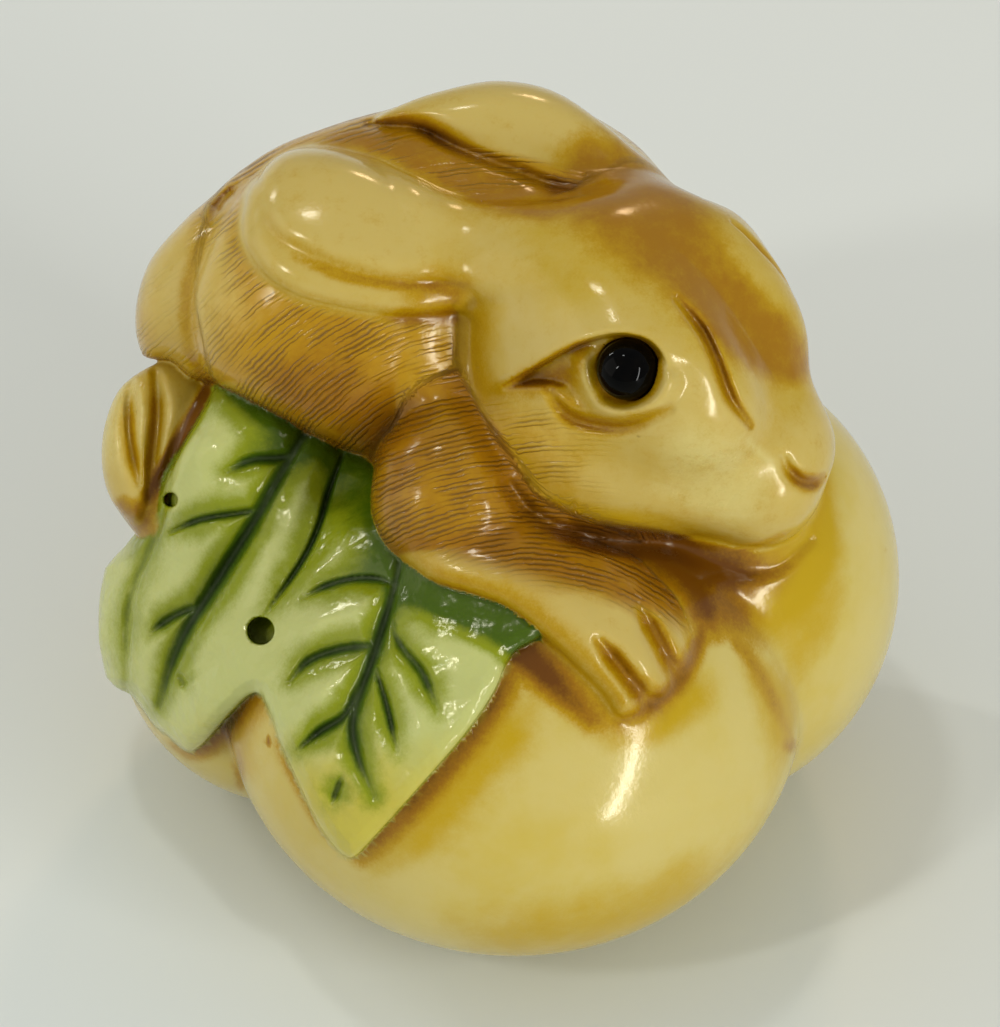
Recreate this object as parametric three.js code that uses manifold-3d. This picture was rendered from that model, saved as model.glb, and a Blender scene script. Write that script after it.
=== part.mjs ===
// Netsuke: a hare crouched on a cluster of four smooth fruits, with two veined leaves over the left
// fruits, carved from one piece, and two inlaid dark eyes. Millimetres, +Z up, base on z = 0.
//
// The carving is one signed distance field: each form is an ellipsoid, often trimmed by an outline.
// The outlines lie in the carving plane, which leans back 45 degrees: u runs right, v runs up the
// slope and w stands off it, towards the side that the hare's face is carved on.
import * as THREE from 'three';
import { mergeVertices } from 'three/addons/utils/BufferGeometryUtils.js';
import Module from 'manifold-3d';

// ---- driving dimensions (mm) ----
const planeHeight = 20;
const lean = Math.PI / 4;
const wrapCentre = [0, 1, 19];
const wrapTriangles = 7900;
const firstDetail = 9;
const coarseEdge = 1.1;
const shortestEdge = 0.5;
const eyeRadius = 1.6;
const eyeGap = 0.3;
const eyeRight = [6.5, 7.55, 12.4];
const eyeLeftOnHead = [-1.1, 6.8, 2.8];
const channelReach = 4.6;
const channelBore = 1.5;
const channelCentre = [-1.3, 17.7, 9];
const leafThickness = 0.9;
const leafReach = -11.5;

// world centre and world half sizes of each fruit
const fruits = {
  front: { at: [0.75, -4.2, 11.5], half: [15.2, 15.2, 12.6] },
  right: { at: [9.5, 3.2, 12.2], half: [11.6, 11.6, 12.6] },
  left: { at: [-10.9, 3, 9.2], half: [9.5, 9.6, 9.9] },
  back: { at: [-1.5, 8.8, 9.4], half: [10.5, 9, 9.9] },
};

// the mound that the upper leaf climbs, in the carving plane
const mound = { at: [-12.6, 3, -2.6], half: [4.6, 5.2, 4.8] };

// ---- frames ----
const cl = Math.cos(lean);
const sl = Math.sin(lean);

function toPlane([x, y, z]) {
  const h = z - planeHeight;
  return [x, y * sl + h * cl, h * sl - y * cl];
}

function toWorld([u, v, w]) {
  return [u, v * sl - w * cl, v * cl + w * sl + planeHeight];
}

const worldAxes = [
  [1, 0, 0],
  [0, sl, -cl],
  [0, cl, sl],
];

const dot = (a, b) => a[0] * b[0] + a[1] * b[1] + a[2] * b[2];
const minus = (a, b) => [a[0] - b[0], a[1] - b[1], a[2] - b[2]];
const mix = (a, b, t) => a + (b - a) * t;
const clamp = (x, low, high) => Math.min(Math.max(x, low), high);

// unit axes from a main direction and a second one made square to it
function axesOf(first, second) {
  const a = new THREE.Vector3(...first).normalize();
  const b = new THREE.Vector3(...second);
  b.addScaledVector(a, -a.dot(b)).normalize();
  const c = new THREE.Vector3().crossVectors(a, b);
  return [a.toArray(), b.toArray(), c.toArray()];
}

const plainAxes = axesOf([1, 0, 0], [0, 1, 0]);

// ---- distances ----
function ellipsoid(p, centre, half, axes = plainAxes) {
  const q = minus(p, centre);
  let near = 0;
  let far = 0;
  for (let i = 0; i < 3; i++) {
    const along = dot(q, axes[i]) / half[i];
    near += along * along;
    far += (along / half[i]) ** 2;
  }
  near = Math.sqrt(near);
  return (near * (near - 1)) / (Math.sqrt(far) + 1e-6);
}

function blend(a, b, k) {
  const h = Math.max(k - Math.abs(a - b), 0) / k;
  return Math.min(a, b) - h * h * k * 0.25;
}

function trim(a, b, k) {
  return -blend(-a, -b, k);
}

// an outline through the given points, rounded, as edges ready for measuring
function plan(points) {
  const flat = points.map(([u, v]) => new THREE.Vector3(u, v, 0));
  const curve = new THREE.CatmullRomCurve3(flat, true, 'catmullrom', 0.5);
  const ring = curve.getPoints(points.length * 3).slice(0, -1);
  return ring.map((a, i) => {
    const b = ring[(i + 1) % ring.length];
    const du = b.x - a.x;
    const dv = b.y - a.y;
    return [a.x, a.y, du, dv, du * du + dv * dv + 1e-9];
  });
}

// distance to an outline in the carving plane, negative inside it
function planDistance(p, edges) {
  let best = Infinity;
  let inside = false;
  for (const [u, v, du, dv, size] of edges) {
    const pu = p[0] - u;
    const pv = p[1] - v;
    const t = clamp((pu * du + pv * dv) / size, 0, 1);
    const eu = pu - du * t;
    const ev = pv - dv * t;
    best = Math.min(best, eu * eu + ev * ev);
    const below = pv < 0;
    if (below !== pv - dv < 0) {
      const side = pu * dv - pv * du;
      if (side > 0 === dv > 0) inside = !inside;
    }
  }
  return (inside ? -1 : 1) * Math.sqrt(best);
}

// ---- outlines in the carving plane ----
const haunchPlan = plan([
  [-14.5, 15.9], [-15.4, 14], [-16.3, 11.6], [-16.3, 10.2], [-16.1, 8.8], [-15.4, 7.3],
  [-13.6, 6.3], [-11.6, 5.3], [-9.2, 3.9], [-6.6, 2.7], [-4, 4], [-1.6, 8], [-1.6, 12],
  [-3.6, 16], [-9, 19.4], [-12.6, 18.4],
]);
const shankPlan = plan([
  [-13, 18], [-15.5, 16.4], [-17, 15], [-18.3, 13.5], [-19, 11.9], [-19.4, 10.2], [-19.4, 8.9],
  [-18.9, 7.9], [-17.3, 8.2], [-15.8, 7.2], [-13.5, 8], [-13, 14],
]);
const footPlan = plan([
  [-17.3, 8.3], [-19.7, 7], [-20.7, 5.1], [-21, 3], [-20.7, 1.2], [-19.6, 0.3], [-18.2, 1.7],
  [-16.6, 3.9], [-15.2, 6.3], [-15.9, 7.8],
]);
const elbowPlan = plan([
  [-5.4, 5.2], [-6.3, 3.8], [-6.7, 1.9], [-6.7, 0.3], [-6.1, -1.4], [-4.7, -2.7], [-2.6, -3.6],
  [-0.2, -2.7], [1.5, -1.3], [1.9, 0.2], [0.9, 2.4], [-0.2, 5.5], [-1.4, 9.5], [-3.8, 9.8],
]);
const armPlan = plan([
  [-5.2, -1.4], [-3.8, -3.3], [-1.2, -4.2], [0.5, -4.9], [3.1, -7], [5.1, -9], [6, -10.3],
  [7, -10.2], [7.7, -9.5], [8.6, -9.3], [9.2, -8.3], [9.9, -7.4], [9.9, -6], [9.2, -4.3],
  [8, -3], [5.6, -0.6],
  [2, 1.5], [-2, 1],
]);
const headPlan = plan([
  [-1.6, 10.8], [-1.6, 8.2], [-1, 4.7], [0.1, 2], [1.5, 0.2], [3.6, -0.6], [7.3, -0.9],
  [10, -1.4], [12.2, -2], [13.6, -2.1], [15.1, -1.3], [16.3, 0.1], [17, 1.7], [17.7, 3],
  [18, 4.5], [17.6, 6.4], [16.8, 8.5], [15.9, 10.7], [15.1, 12.4], [14.2, 14], [12.7, 16.1],
  [10.8, 17.1], [7.5, 18.5], [4.5, 16.6], [3, 15.4], [0, 14.6], [-1.4, 13],
]);
const lobePlan = plan([
  [4.6, 14], [3.1, 15.1], [0, 15.6], [-3.2, 17], [-5, 17.9], [-6.7, 18.7], [-9.1, 19.3],
  [-11.2, 19.1], [-12.4, 17.9], [-12.7, 16.3], [-12.4, 15.1], [-11.7, 14.2], [-10.5, 13.5],
  [-8.7, 12.7], [-6.7, 12.1], [-5, 11.8], [-2, 11.9], [0.5, 11], [3.5, 11.5],
]);
const lipPlan = plan([
  [-12.9, 17.3], [-13.3, 16], [-13.4, 14.8], [-13.1, 13.7], [-12.1, 12.3], [-10.5, 11.3],
  [-8.7, 10.8], [-6.4, 10.4], [-4.5, 10.3], [-2.4, 10.5], [-1.3, 10.8], [-1, 12], [-5, 13],
  [-9, 15], [-11.5, 17.5],
]);
const farEarPlan = plan([
  [-6.5, 20.6], [-5, 21.5], [-2.6, 22.3], [0, 22.8], [2.7, 22.3], [5.2, 20.6], [7.4, 18.7],
  [9.2, 17.2], [8.4, 15.8], [6, 16.4], [4.7, 17.1], [1.6, 17.4], [0, 18], [-2, 19.1],
  [-4, 20.2],
]);
const leafPlan = plan([
  [-15.2, 7.2], [-12.5, 7.2], [-9, 6], [-6, 3], [-3, 0.5], [-0.5, -2.8], [2, -5.2], [2.1, -6.1],
  [0.6, -7], [-0.3, -8.9], [-1.7, -11], [-4.2, -13.9], [-6.6, -16.6], [-7.8, -17.6],
  [-9, -16.4], [-9.9, -14.8], [-11.2, -12], [-12, -9.9], [-12.7, -9.1], [-14, -10.2],
  [-15.6, -11.9], [-16.5, -12.3], [-17.5, -11.5], [-18.2, -11], [-19.4, -9.5], [-20.6, -9.2],
  [-24, -9], [-24, 0], [-19, 1.6], [-17.6, 2.6], [-16.5, 4.4],
]);

// a carved line: its course in the carving plane, its half width and its depth
function stroke(points, width, depth) {
  const flat = points.map(([u, v]) => new THREE.Vector3(u, v, 0));
  const ring = new THREE.CatmullRomCurve3(flat, false, 'catmullrom', 0.5).getPoints(points.length * 2);
  const edges = ring.slice(1).map((b, i) => {
    const a = ring[i];
    const du = b.x - a.x;
    const dv = b.y - a.y;
    return [a.x, a.y, du, dv, du * du + dv * dv + 1e-9];
  });
  const box = new THREE.Box3().setFromPoints(ring).expandByScalar(width * 2.2);
  return { edges, box, width, depth };
}

// how deep the given lines are cut at a place in the carving plane
function cutDepth(u, v, strokes) {
  let deepest = 0;
  for (const { edges, box, width, depth } of strokes) {
    if (u < box.min.x || u > box.max.x || v < box.min.y || v > box.max.y) continue;
    let best = Infinity;
    let share = 0;
    edges.forEach(([au, av, du, dv, size], i) => {
      const t = clamp(((u - au) * du + (v - av) * dv) / size, 0, 1);
      const away = (u - au - du * t) ** 2 + (v - av - dv * t) ** 2;
      if (away < best) {
        best = away;
        share = (i + t) / edges.length;
      }
    });
    const swell = mix(0.45, 1, Math.min(1, 4 * Math.min(share, 1 - share)));
    deepest = Math.max(deepest, depth * swell * Math.exp(-best / (width * width)));
  }
  return deepest;
}

// ---- carved lines in the carving plane ----
const veins = [
  stroke([[-9.6, 5.4], [-10.8, 3.3], [-12.6, 0.1], [-14.5, -3], [-16.7, -6.6], [-17.9, -10]], 0.5, 0.6),
  stroke([[-14.2, 2.4], [-12.8, 3], [-11.2, 3.1]], 0.4, 0.45),
  stroke([[-17.2, -0.8], [-15.5, -0.1], [-13.1, 0.3]], 0.35, 0.35),
  stroke([[-18.3, -6.1], [-17.2, -5.3], [-16.1, -4.8]], 0.4, 0.4),
  stroke([[-8.9, 1.3], [-9.4, -0.5], [-10.3, -2.4], [-12.1, -5]], 0.35, 0.4),
  stroke([[-10.2, -4.2], [-9, -3.6], [-7.6, -3.2], [-6.2, -3.2]], 0.35, 0.4),
  stroke([[-5.2, -2.4], [-5.4, -3.5], [-6.4, -6.9], [-7.5, -10.2], [-7.3, -12.3], [-6.5, -14.3]], 0.5, 0.6),
  stroke([[-10.8, -8.5], [-9.8, -7.4], [-8.1, -6.8], [-6.6, -6.6]], 0.4, 0.45),
  stroke([[-10.4, -12], [-9.2, -11], [-7.9, -10.1], [-7, -8]], 0.4, 0.45),
  stroke([[-5.6, -5.3], [-5.1, -6.6], [-4, -8], [-3.2, -9.9]], 0.4, 0.45),
  stroke([[-6.5, -7.3], [-5.7, -10.1], [-5.3, -12]], 0.4, 0.4),
];
const toeCuts = [
  stroke([[5.3, -6.6], [6.3, -7.9], [7.6, -9.6]], 0.55, 1),
  stroke([[7.2, -4.7], [8.1, -6.4], [9.3, -8.6]], 0.55, 1),
  stroke([[-19.3, 6.9], [-19.4, 4.5], [-19.5, 2]], 0.45, 0.7),
  stroke([[-17.9, 7.8], [-18, 5.1], [-18.4, 1.6]], 0.45, 0.7),
];
// on the head these are seen from its near side, and repeat on the far side
const faceCuts = [
  stroke([[9, 11.2], [10.3, 9.6], [11.1, 7.9], [11.8, 6.1], [12.8, 4.7]], 0.45, 0.5),
  stroke([[14.5, 2.9], [15.4, 1.8], [16.6, 1.8]], 0.45, 0.7),
  stroke([[0.1, 6.6], [1.9, 7.8], [3.6, 8.8], [5, 9.4]], 0.45, 0.6),
  stroke([[2.3, 6.9], [3.1, 5.8], [4, 4.9], [5.4, 4.6], [6.8, 4.7], [8.6, 5.3]], 0.4, 0.45),
  stroke([[12.3, -1.7], [13.7, -1.2], [15.2, -0.6]], 0.35, 0.4),
];

// ---- fruits and leaves ----
function fruit(p, name) {
  const { at, half } = fruits[name];
  return ellipsoid(p, toPlane(at), half, worldAxes);
}

function cluster(p) {
  let d = fruit(p, 'front');
  for (const name of ['right', 'left', 'back']) d = blend(d, fruit(p, name), 0.5);
  return blend(d, ellipsoid(p, mound.at, mound.half), 1);
}

function leaves(p) {
  const edge = planDistance(p, leafPlan);
  const bridge = mix(0.5, 5, clamp((p[2] + 9) / 5, 0, 1));
  const fruitBed = blend(fruit(p, 'left'), fruit(p, 'front'), bridge);
  const bed = blend(fruitBed, ellipsoid(p, mound.at, mound.half), 3);
  const thick = leafThickness * clamp(0.55 - edge / 1.6, 0.55, 1);
  const cut = p[2] > -8 ? cutDepth(p[0], p[1], veins) : 0;
  const blade = trim(bed - thick + cut, edge * 0.9, 0.35);
  return trim(blade, leafReach - p[2], 0.3);
}

// ---- head: its own frame runs forward to the nose, to its far side and up through the crown ----
const headCentre = [8.2, 8, 4.5];
const headTurn = THREE.MathUtils.degToRad(37.7);
const headRoll = Math.PI / 4;
const farDrop = 1.2; // how much lower the far eye and brow are carved
const headForward = [Math.cos(headTurn), -Math.sin(headTurn), 0];
const acrossHead = [Math.sin(headTurn), Math.cos(headTurn), 0];
const headSide = acrossHead.map((n, i) => n * Math.cos(headRoll) - (i === 2 ? Math.sin(headRoll) : 0));
const headUp = acrossHead.map((n, i) => n * Math.sin(headRoll) + (i === 2 ? Math.cos(headRoll) : 0));

function headPoint(p) {
  const q = minus(p, headCentre);
  return [dot(q, headForward), dot(q, headSide), dot(q, headUp)];
}

function fromHead([f, s, h]) {
  return headCentre.map((c, i) => c + f * headForward[i] + s * headSide[i] + h * headUp[i]);
}

function head(p) {
  const q = headPoint(p);
  const m = [q[0], Math.abs(q[1]), q[2]];
  let d = ellipsoid(q, [-3.4, 0, -0.6], [8.2, 7.4, 7.8]);
  d = blend(d, ellipsoid(q, [3.2, 0, -1.6], [9.6, 5.6, 5.8]), 3);
  d = blend(d, ellipsoid(m, [-0.4, 4, -4.6], [6.8, 4.6, 5]), 3);
  d = blend(d, ellipsoid(m, [-0.4, 4, 3.2], [6.4, 3.6, 4]), 2.5);
  const across = (q[2] - Math.abs(q[1])) * Math.SQRT1_2 + (q[1] > 0 ? farDrop : 0);
  const u = headCentre[0] + q[0] * headForward[0] + across * acrossHead[0];
  const v = headCentre[1] + q[0] * headForward[1] + across * acrossHead[1];
  return trim(d + cutDepth(u, v, faceCuts), planDistance(p, headPlan), 2.2);
}

// ---- body ----
function torso(p) {
  const rump = ellipsoid(p, [-7, 11.6, -1.9], [9.6, 8.9, 8]);
  const shoulder = ellipsoid(p, [0.6, 12.6, -1.9], [9.6, 9, 7.8]);
  const chest = ellipsoid(p, [5, 3, 1.5], [7.5, 6.5, 7]);
  const nape = ellipsoid(p, [-1, 16.6, -1], [8.6, 4.6, 6.4]);
  return blend(blend(blend(rump, shoulder, 4), nape, 2), chest, 3);
}

function haunch(p) {
  return trim(ellipsoid(p, [-8.6, 11, 1], [9.2, 8.6, 7.8]), planDistance(p, haunchPlan), 2.4);
}

function shank(p) {
  return trim(ellipsoid(p, [-11, 11.6, -2.4], [8.8, 7.6, 8]), planDistance(p, shankPlan), 1.6);
}

function foot(p) {
  const pad = ellipsoid(p, [-17.6, 4.4, -4.2], [4.2, 6, 4]) + cutDepth(p[0], p[1], toeCuts);
  return trim(pad, planDistance(p, footPlan), 1.8);
}

function elbow(p) {
  return trim(ellipsoid(p, [-2.6, 0.6, 4.4], [6, 6.4, 6.2]), planDistance(p, elbowPlan), 2.6);
}

function forearm(p) {
  const rise = 2.6 - 0.1 * clamp(p[0], 0, 9) - cutDepth(p[0], p[1], toeCuts);
  return trim(fruit(p, 'front') - rise, planDistance(p, armPlan), 2.6);
}

function nearEar(p, back) {
  const lobe = trim(back - 1.3, planDistance(p, lobePlan), 1.7);
  const lip = trim(back - 0.8, planDistance(p, lipPlan), 1.3);
  return trim(blend(lobe, lip, 0.15), 0.5 - p[2], 1);
}

function farEar(p) {
  const tilt = axesOf([1, -0.16, 0], [0, 0.8, -0.6]);
  return trim(ellipsoid(p, [0.4, 19.6, 0.8], [8.8, 4, 4], tilt), planDistance(p, farEarPlan), 1.5);
}

// the hidden side: the far haunch, shoulder and tail, and the feet that rest on the fruits below them
function farSide(p) {
  const farHaunch = ellipsoid(p, [-9, 13.4, -5.4], [6.8, 5.8, 5.6]);
  const farShoulder = ellipsoid(p, [5.4, 13.8, -6.4], [4.6, 4.6, 4.4]);
  const tail = ellipsoid(p, [-14.8, 12.8, -6.6], [2.8, 2.6, 2.6]);
  return blend(blend(farHaunch, farShoulder, 0.4), tail, 0.4);
}

function farFeet(p) {
  const hind = ellipsoid(p, [-9.5, 9, -11.4], [5, 2.6, 2.8]);
  const fore = ellipsoid(p, [8.6, 8.6, -10.4], [2.8, 4.4, 2.6], axesOf([1, 0.35, 0], [-0.35, 1, 0.35]));
  return Math.min(hind, fore);
}

function hare(p) {
  let trunk = blend(torso(p), elbow(p), 2.2);
  trunk = blend(trunk, farSide(p), 0.7);
  trunk = blend(trunk, shank(p), 0.5);
  trunk = blend(trunk, haunch(p), 0.3);
  let d = blend(trunk, nearEar(p, trunk), 0.2);
  const rootAxes = axesOf([1, -0.12, 0.4], [0.12, 1, 0]);
  d = blend(d, ellipsoid(p, [0.6, 13.6, 5], [6.6, 2.5, 3.6], rootAxes), 1.5);
  const soft = mix(0.4, 3, clamp((p[1] - 10.5) / 2, 0, 1));
  d = blend(d, head(p), soft);
  d = blend(d, farEar(p), 0.4);
  d = blend(d, forearm(p), 0.3);
  return blend(d, foot(p), 0.3);
}

function carvingDistance(p) {
  const feet = blend(blend(farFeet(p), cluster(p), 1.6), hare(p), 0.6);
  return Math.min(feet, leaves(p));
}

// ---- skin: rays from the middle of the carving, refined where the form turns ----
function surfaceAlong(direction) {
  const ray = [dot(direction, worldAxes[0]), dot(direction, [0, 1, 0]), direction[2]];
  const at = (t) => carvingDistance(toPlane(wrapCentre.map((c, i) => c + ray[i] * t)));
  let t = 34;
  let d = at(t);
  while (d > 0.01 && t > 1) {
    t -= Math.max(d * 0.8, 0.01);
    d = at(t);
  }
  return t;
}

// the directions, the reach of the carving along each and the faces between them
class Skin {
  constructor(detail) {
    const ball = new THREE.IcosahedronGeometry(1, detail);
    ball.deleteAttribute('normal');
    ball.deleteAttribute('uv');
    const start = mergeVertices(ball, 1e-4);
    const place = start.attributes.position;
    this.directions = [];
    this.points = [];
    this.faces = [];
    this.edges = new Map();
    for (let i = 0; i < place.count; i++) this.add([place.getX(i), place.getY(i), place.getZ(i)]);
    for (let i = 0; i < start.index.count; i += 3) {
      this.faces.push([start.index.getX(i), start.index.getX(i + 1), start.index.getX(i + 2)]);
    }
  }

  add(towards) {
    const long = Math.hypot(...towards);
    const way = towards.map((n) => n / long);
    const t = surfaceAlong(way);
    this.directions.push(way);
    this.points.push(way.map((n) => n * t));
    return this.points.length - 1;
  }

  // how far the carving leaves the straight edge between two points, and where it does so most
  edge(a, b) {
    const key = a < b ? `${a} ${b}` : `${b} ${a}`;
    if (this.edges.has(key)) return this.edges.get(key);
    const [from, to] = a < b ? [a, b] : [b, a];
    const size = Math.hypot(...minus(this.points[from], this.points[to]));
    const found = { a: from, b: to, size, score: 0, way: null };
    const shares = size > coarseEdge ? [0.3, 0.5, 0.7] : [0.5];
    for (const share of shares) {
      const chord = this.points[from].map((n, i) => mix(n, this.points[to][i], share));
      const long = Math.hypot(...chord);
      const way = chord.map((n) => n / long);
      const miss = Math.abs(surfaceAlong(way) - long);
      if (found.way === null || miss * Math.sqrt(size) > found.score) {
        found.score = miss * Math.sqrt(size);
        found.way = way;
      }
    }
    if (size < shortestEdge) found.score = 0;
    this.edges.set(key, found);
    return found;
  }

  // splits the edges that miss the carving most, each in the faces on both of its sides
  split(most) {
    const owners = new Map();
    this.faces.forEach((face, f) => {
      for (let i = 0; i < 3; i++) {
        const edge = this.edge(face[i], face[(i + 1) % 3]);
        if (!owners.has(edge)) owners.set(edge, []);
        owners.get(edge).push(f);
      }
    });
    const ranked = [...owners.keys()].sort((p, q) => q.score - p.score);
    const room = Math.min(most, Math.ceil(ranked.length / 14));
    const touched = new Set();
    let count = 0;
    for (const edge of ranked) {
      if (count >= room || edge.score === 0) break;
      const pair = owners.get(edge);
      const stretched = pair.some((f) => {
        const face = this.faces[f];
        const sizes = face.map((n, i) => this.edge(n, face[(i + 1) % 3]).size);
        return edge.size > Math.max(...sizes) * 0.75;
      });
      if (!stretched || pair.some((f) => touched.has(f))) continue;
      const middle = this.add(edge.way);
      for (const f of pair) {
        touched.add(f);
        const face = this.faces[f];
        const i = [0, 1, 2].find((j) => face[j] !== edge.a && face[j] !== edge.b);
        const [tip, from, to] = [face[i], face[(i + 1) % 3], face[(i + 2) % 3]];
        this.faces[f] = [tip, from, middle];
        this.faces.push([tip, middle, to]);
      }
      count++;
    }
    return count;
  }

  geometry() {
    const geometry = new THREE.BufferGeometry();
    geometry.setAttribute('position', new THREE.Float32BufferAttribute(this.points.flat(), 3));
    geometry.setIndex(this.faces.flat());
    return geometry.translate(...wrapCentre);
  }
}

function wrappedCarving() {
  const skin = new Skin(firstDetail);
  while (skin.faces.length < wrapTriangles) {
    const made = skin.split((wrapTriangles - skin.faces.length) / 2 + 1);
    if (made === 0) break;
    flipEdges(skin);
  }
  return skin.geometry();
}

// turns the shared edge of two faces where that opens the sharpest corner
function flipEdges({ faces, points, directions }) {
  const corner = (a, b, c) => {
    const p = minus(points[b], points[a]);
    const q = minus(points[c], points[a]);
    return Math.acos(clamp(dot(p, q) / Math.hypot(...p) / Math.hypot(...q), -1, 1));
  };
  const sharpest = (a, b, c) => Math.min(corner(a, b, c), corner(b, c, a), corner(c, a, b));
  const facing = (a, b, c) => {
    const [p, q, r] = [directions[a], directions[b], directions[c]];
    return (
      p[0] * (q[1] * r[2] - q[2] * r[1]) +
      p[1] * (q[2] * r[0] - q[0] * r[2]) +
      p[2] * (q[0] * r[1] - q[1] * r[0])
    );
  };
  const owners = new Map();
  faces.forEach((face, f) => {
    for (let i = 0; i < 3; i++) owners.set(`${face[i]} ${face[(i + 1) % 3]}`, f);
  });
  const moved = new Set();
  for (const [key, f] of owners) {
    const [a, b] = key.split(' ').map(Number);
    if (a > b) continue;
    const g = owners.get(`${b} ${a}`);
    if (g === undefined || moved.has(f) || moved.has(g)) continue;
    const c = faces[f].find((n) => n !== a && n !== b);
    const d = faces[g].find((n) => n !== a && n !== b);
    if (owners.has(`${c} ${d}`) || owners.has(`${d} ${c}`)) continue;
    if (facing(c, a, d) < 1e-6 || facing(c, d, b) < 1e-6) continue;
    const before = Math.min(sharpest(a, b, c), sharpest(a, d, b));
    const after = Math.min(sharpest(c, a, d), sharpest(c, d, b));
    if (after < before + 0.05) continue;
    faces[f] = [c, a, d];
    faces[g] = [c, d, b];
    moved.add(f);
    moved.add(g);
  }
}

// ---- solids ----
const wasm = await Module();
wasm.setup();

function solidOf(geometry) {
  const bare = geometry.index ? geometry.clone() : geometry;
  bare.deleteAttribute('normal');
  bare.deleteAttribute('uv');
  const merged = mergeVertices(bare, 1e-4);
  const vertProperties = new Float32Array(merged.attributes.position.array);
  const triVerts = new Uint32Array(merged.index.array);
  return new wasm.Manifold(new wasm.Mesh({ numProp: 3, vertProperties, triVerts }));
}

function geometryOf(solid) {
  const made = solid.getMesh();
  const geometry = new THREE.BufferGeometry();
  geometry.setAttribute('position', new THREE.BufferAttribute(made.vertProperties, 3));
  geometry.setIndex(new THREE.BufferAttribute(made.triVerts, 1));
  geometry.computeVertexNormals();
  return geometry;
}

function ballAt([x, y, z], radius) {
  return new THREE.SphereGeometry(radius, 18, 12).translate(x, y, z);
}

const eyeLeft = fromHead(eyeLeftOnHead);

function carvingGeometry() {
  let solid = solidOf(wrappedCarving());
  const under = new THREE.BoxGeometry(80, 80, 20).translate(0, 0, -10);
  solid = solid.subtract(solidOf(under));
  const channel = new THREE.TorusGeometry(channelReach, channelBore, 10, 30).translate(...channelCentre);
  solid = solid.subtract(solidOf(channel));
  for (const eye of [eyeRight, eyeLeft]) {
    solid = solid.subtract(solidOf(ballAt(toWorld(eye), eyeRadius + eyeGap)));
  }
  return geometryOf(solid);
}

function piece(name, geometry, look) {
  const mesh = new THREE.Mesh(geometry, new THREE.MeshStandardMaterial(look));
  mesh.name = name;
  return mesh;
}

const netsuke = new THREE.Group();
netsuke.add(piece('carving', carvingGeometry(), { color: 0xc9b46a, roughness: 0.22, metalness: 0 }));
for (const [name, eye] of [['eye_right', eyeRight], ['eye_left', eyeLeft]]) {
  const stud = piece(name, new THREE.SphereGeometry(eyeRadius, 18, 12), {
    color: 0x0a0c0a,
    roughness: 0.08,
    metalness: 0,
  });
  stud.position.set(...toWorld(eye));
  netsuke.add(stud);
}

export default netsuke;
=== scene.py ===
import math
import bpy
import numpy as np
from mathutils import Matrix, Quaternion, Vector


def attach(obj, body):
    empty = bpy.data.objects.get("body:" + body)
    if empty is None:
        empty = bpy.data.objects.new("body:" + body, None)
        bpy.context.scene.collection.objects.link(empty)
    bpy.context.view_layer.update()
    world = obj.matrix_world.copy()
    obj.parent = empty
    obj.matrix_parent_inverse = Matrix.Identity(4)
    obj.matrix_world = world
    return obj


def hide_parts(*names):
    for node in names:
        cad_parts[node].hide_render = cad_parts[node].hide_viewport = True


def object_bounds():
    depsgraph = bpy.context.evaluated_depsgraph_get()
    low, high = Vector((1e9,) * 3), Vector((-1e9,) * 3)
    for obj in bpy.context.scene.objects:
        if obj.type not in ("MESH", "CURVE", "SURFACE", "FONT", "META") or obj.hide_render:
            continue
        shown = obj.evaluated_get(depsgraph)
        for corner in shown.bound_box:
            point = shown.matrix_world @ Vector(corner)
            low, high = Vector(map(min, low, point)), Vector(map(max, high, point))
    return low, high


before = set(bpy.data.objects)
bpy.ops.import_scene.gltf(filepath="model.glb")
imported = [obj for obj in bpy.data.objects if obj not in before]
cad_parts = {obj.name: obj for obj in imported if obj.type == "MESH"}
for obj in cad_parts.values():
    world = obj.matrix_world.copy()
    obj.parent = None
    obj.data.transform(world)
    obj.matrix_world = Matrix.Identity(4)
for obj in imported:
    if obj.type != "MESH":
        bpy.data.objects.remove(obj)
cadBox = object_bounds()
mm = 0.001
chunk = 150000    # places worked out at a time, to hold memory down

# The carving is one distance field in millimetres. Its forms are laid out on the carving plane, which
# leans back by 45 degrees: u runs right, v up the slope and w stands off it, on the hare's face side.
plane = {
    "height": 20.0,          # world height of the plane's origin
    "lean": math.radians(45),
}
leanCos = math.cos(plane["lean"])
leanSin = math.sin(plane["lean"])
worldX = np.array([1.0, 0.0, 0.0], np.float32)
worldY = np.array([0.0, leanSin, -leanCos], np.float32)
worldZ = np.array([0.0, leanCos, leanSin], np.float32)
worldAxes = np.array([worldX, worldY, worldZ])


def toPlane(x, y, z):
    z = z - plane["height"]
    return np.stack([x, y * leanSin + z * leanCos, z * leanSin - y * leanCos], -1)


def toWorld(points):
    u, v, w = points[:, 0], points[:, 1], points[:, 2]
    return np.stack([u, v * leanSin - w * leanCos, v * leanCos + w * leanSin + plane["height"]], -1)


def axesOf(first, second):
    a = np.array(first, float) / np.linalg.norm(first)
    b = np.array(second, float)
    b = b - a * (a @ b)
    b = b / np.linalg.norm(b)
    return np.array([a, b, np.cross(a, b)])


def ellipsoid(p, centre, half, axes=None):
    q = p - np.array(centre, np.float32)
    if axes is not None:
        q = q @ axes.astype(np.float32).T
    q = q / np.array(half, np.float32)
    near = np.sqrt((q * q).sum(-1))
    far = np.sqrt(((q / np.array(half, np.float32)) ** 2).sum(-1)) + 1e-6
    return near * (near - 1) / far


def ball(p, centre, radius):
    return np.sqrt(((p - np.array(centre, np.float32)) ** 2).sum(-1)) - radius


def blend(a, b, k):
    h = np.maximum(k - np.abs(a - b), 0) / k
    return np.minimum(a, b) - h * h * k * 0.25


def trim(a, b, k):
    return -blend(-a, -b, k)


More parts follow.
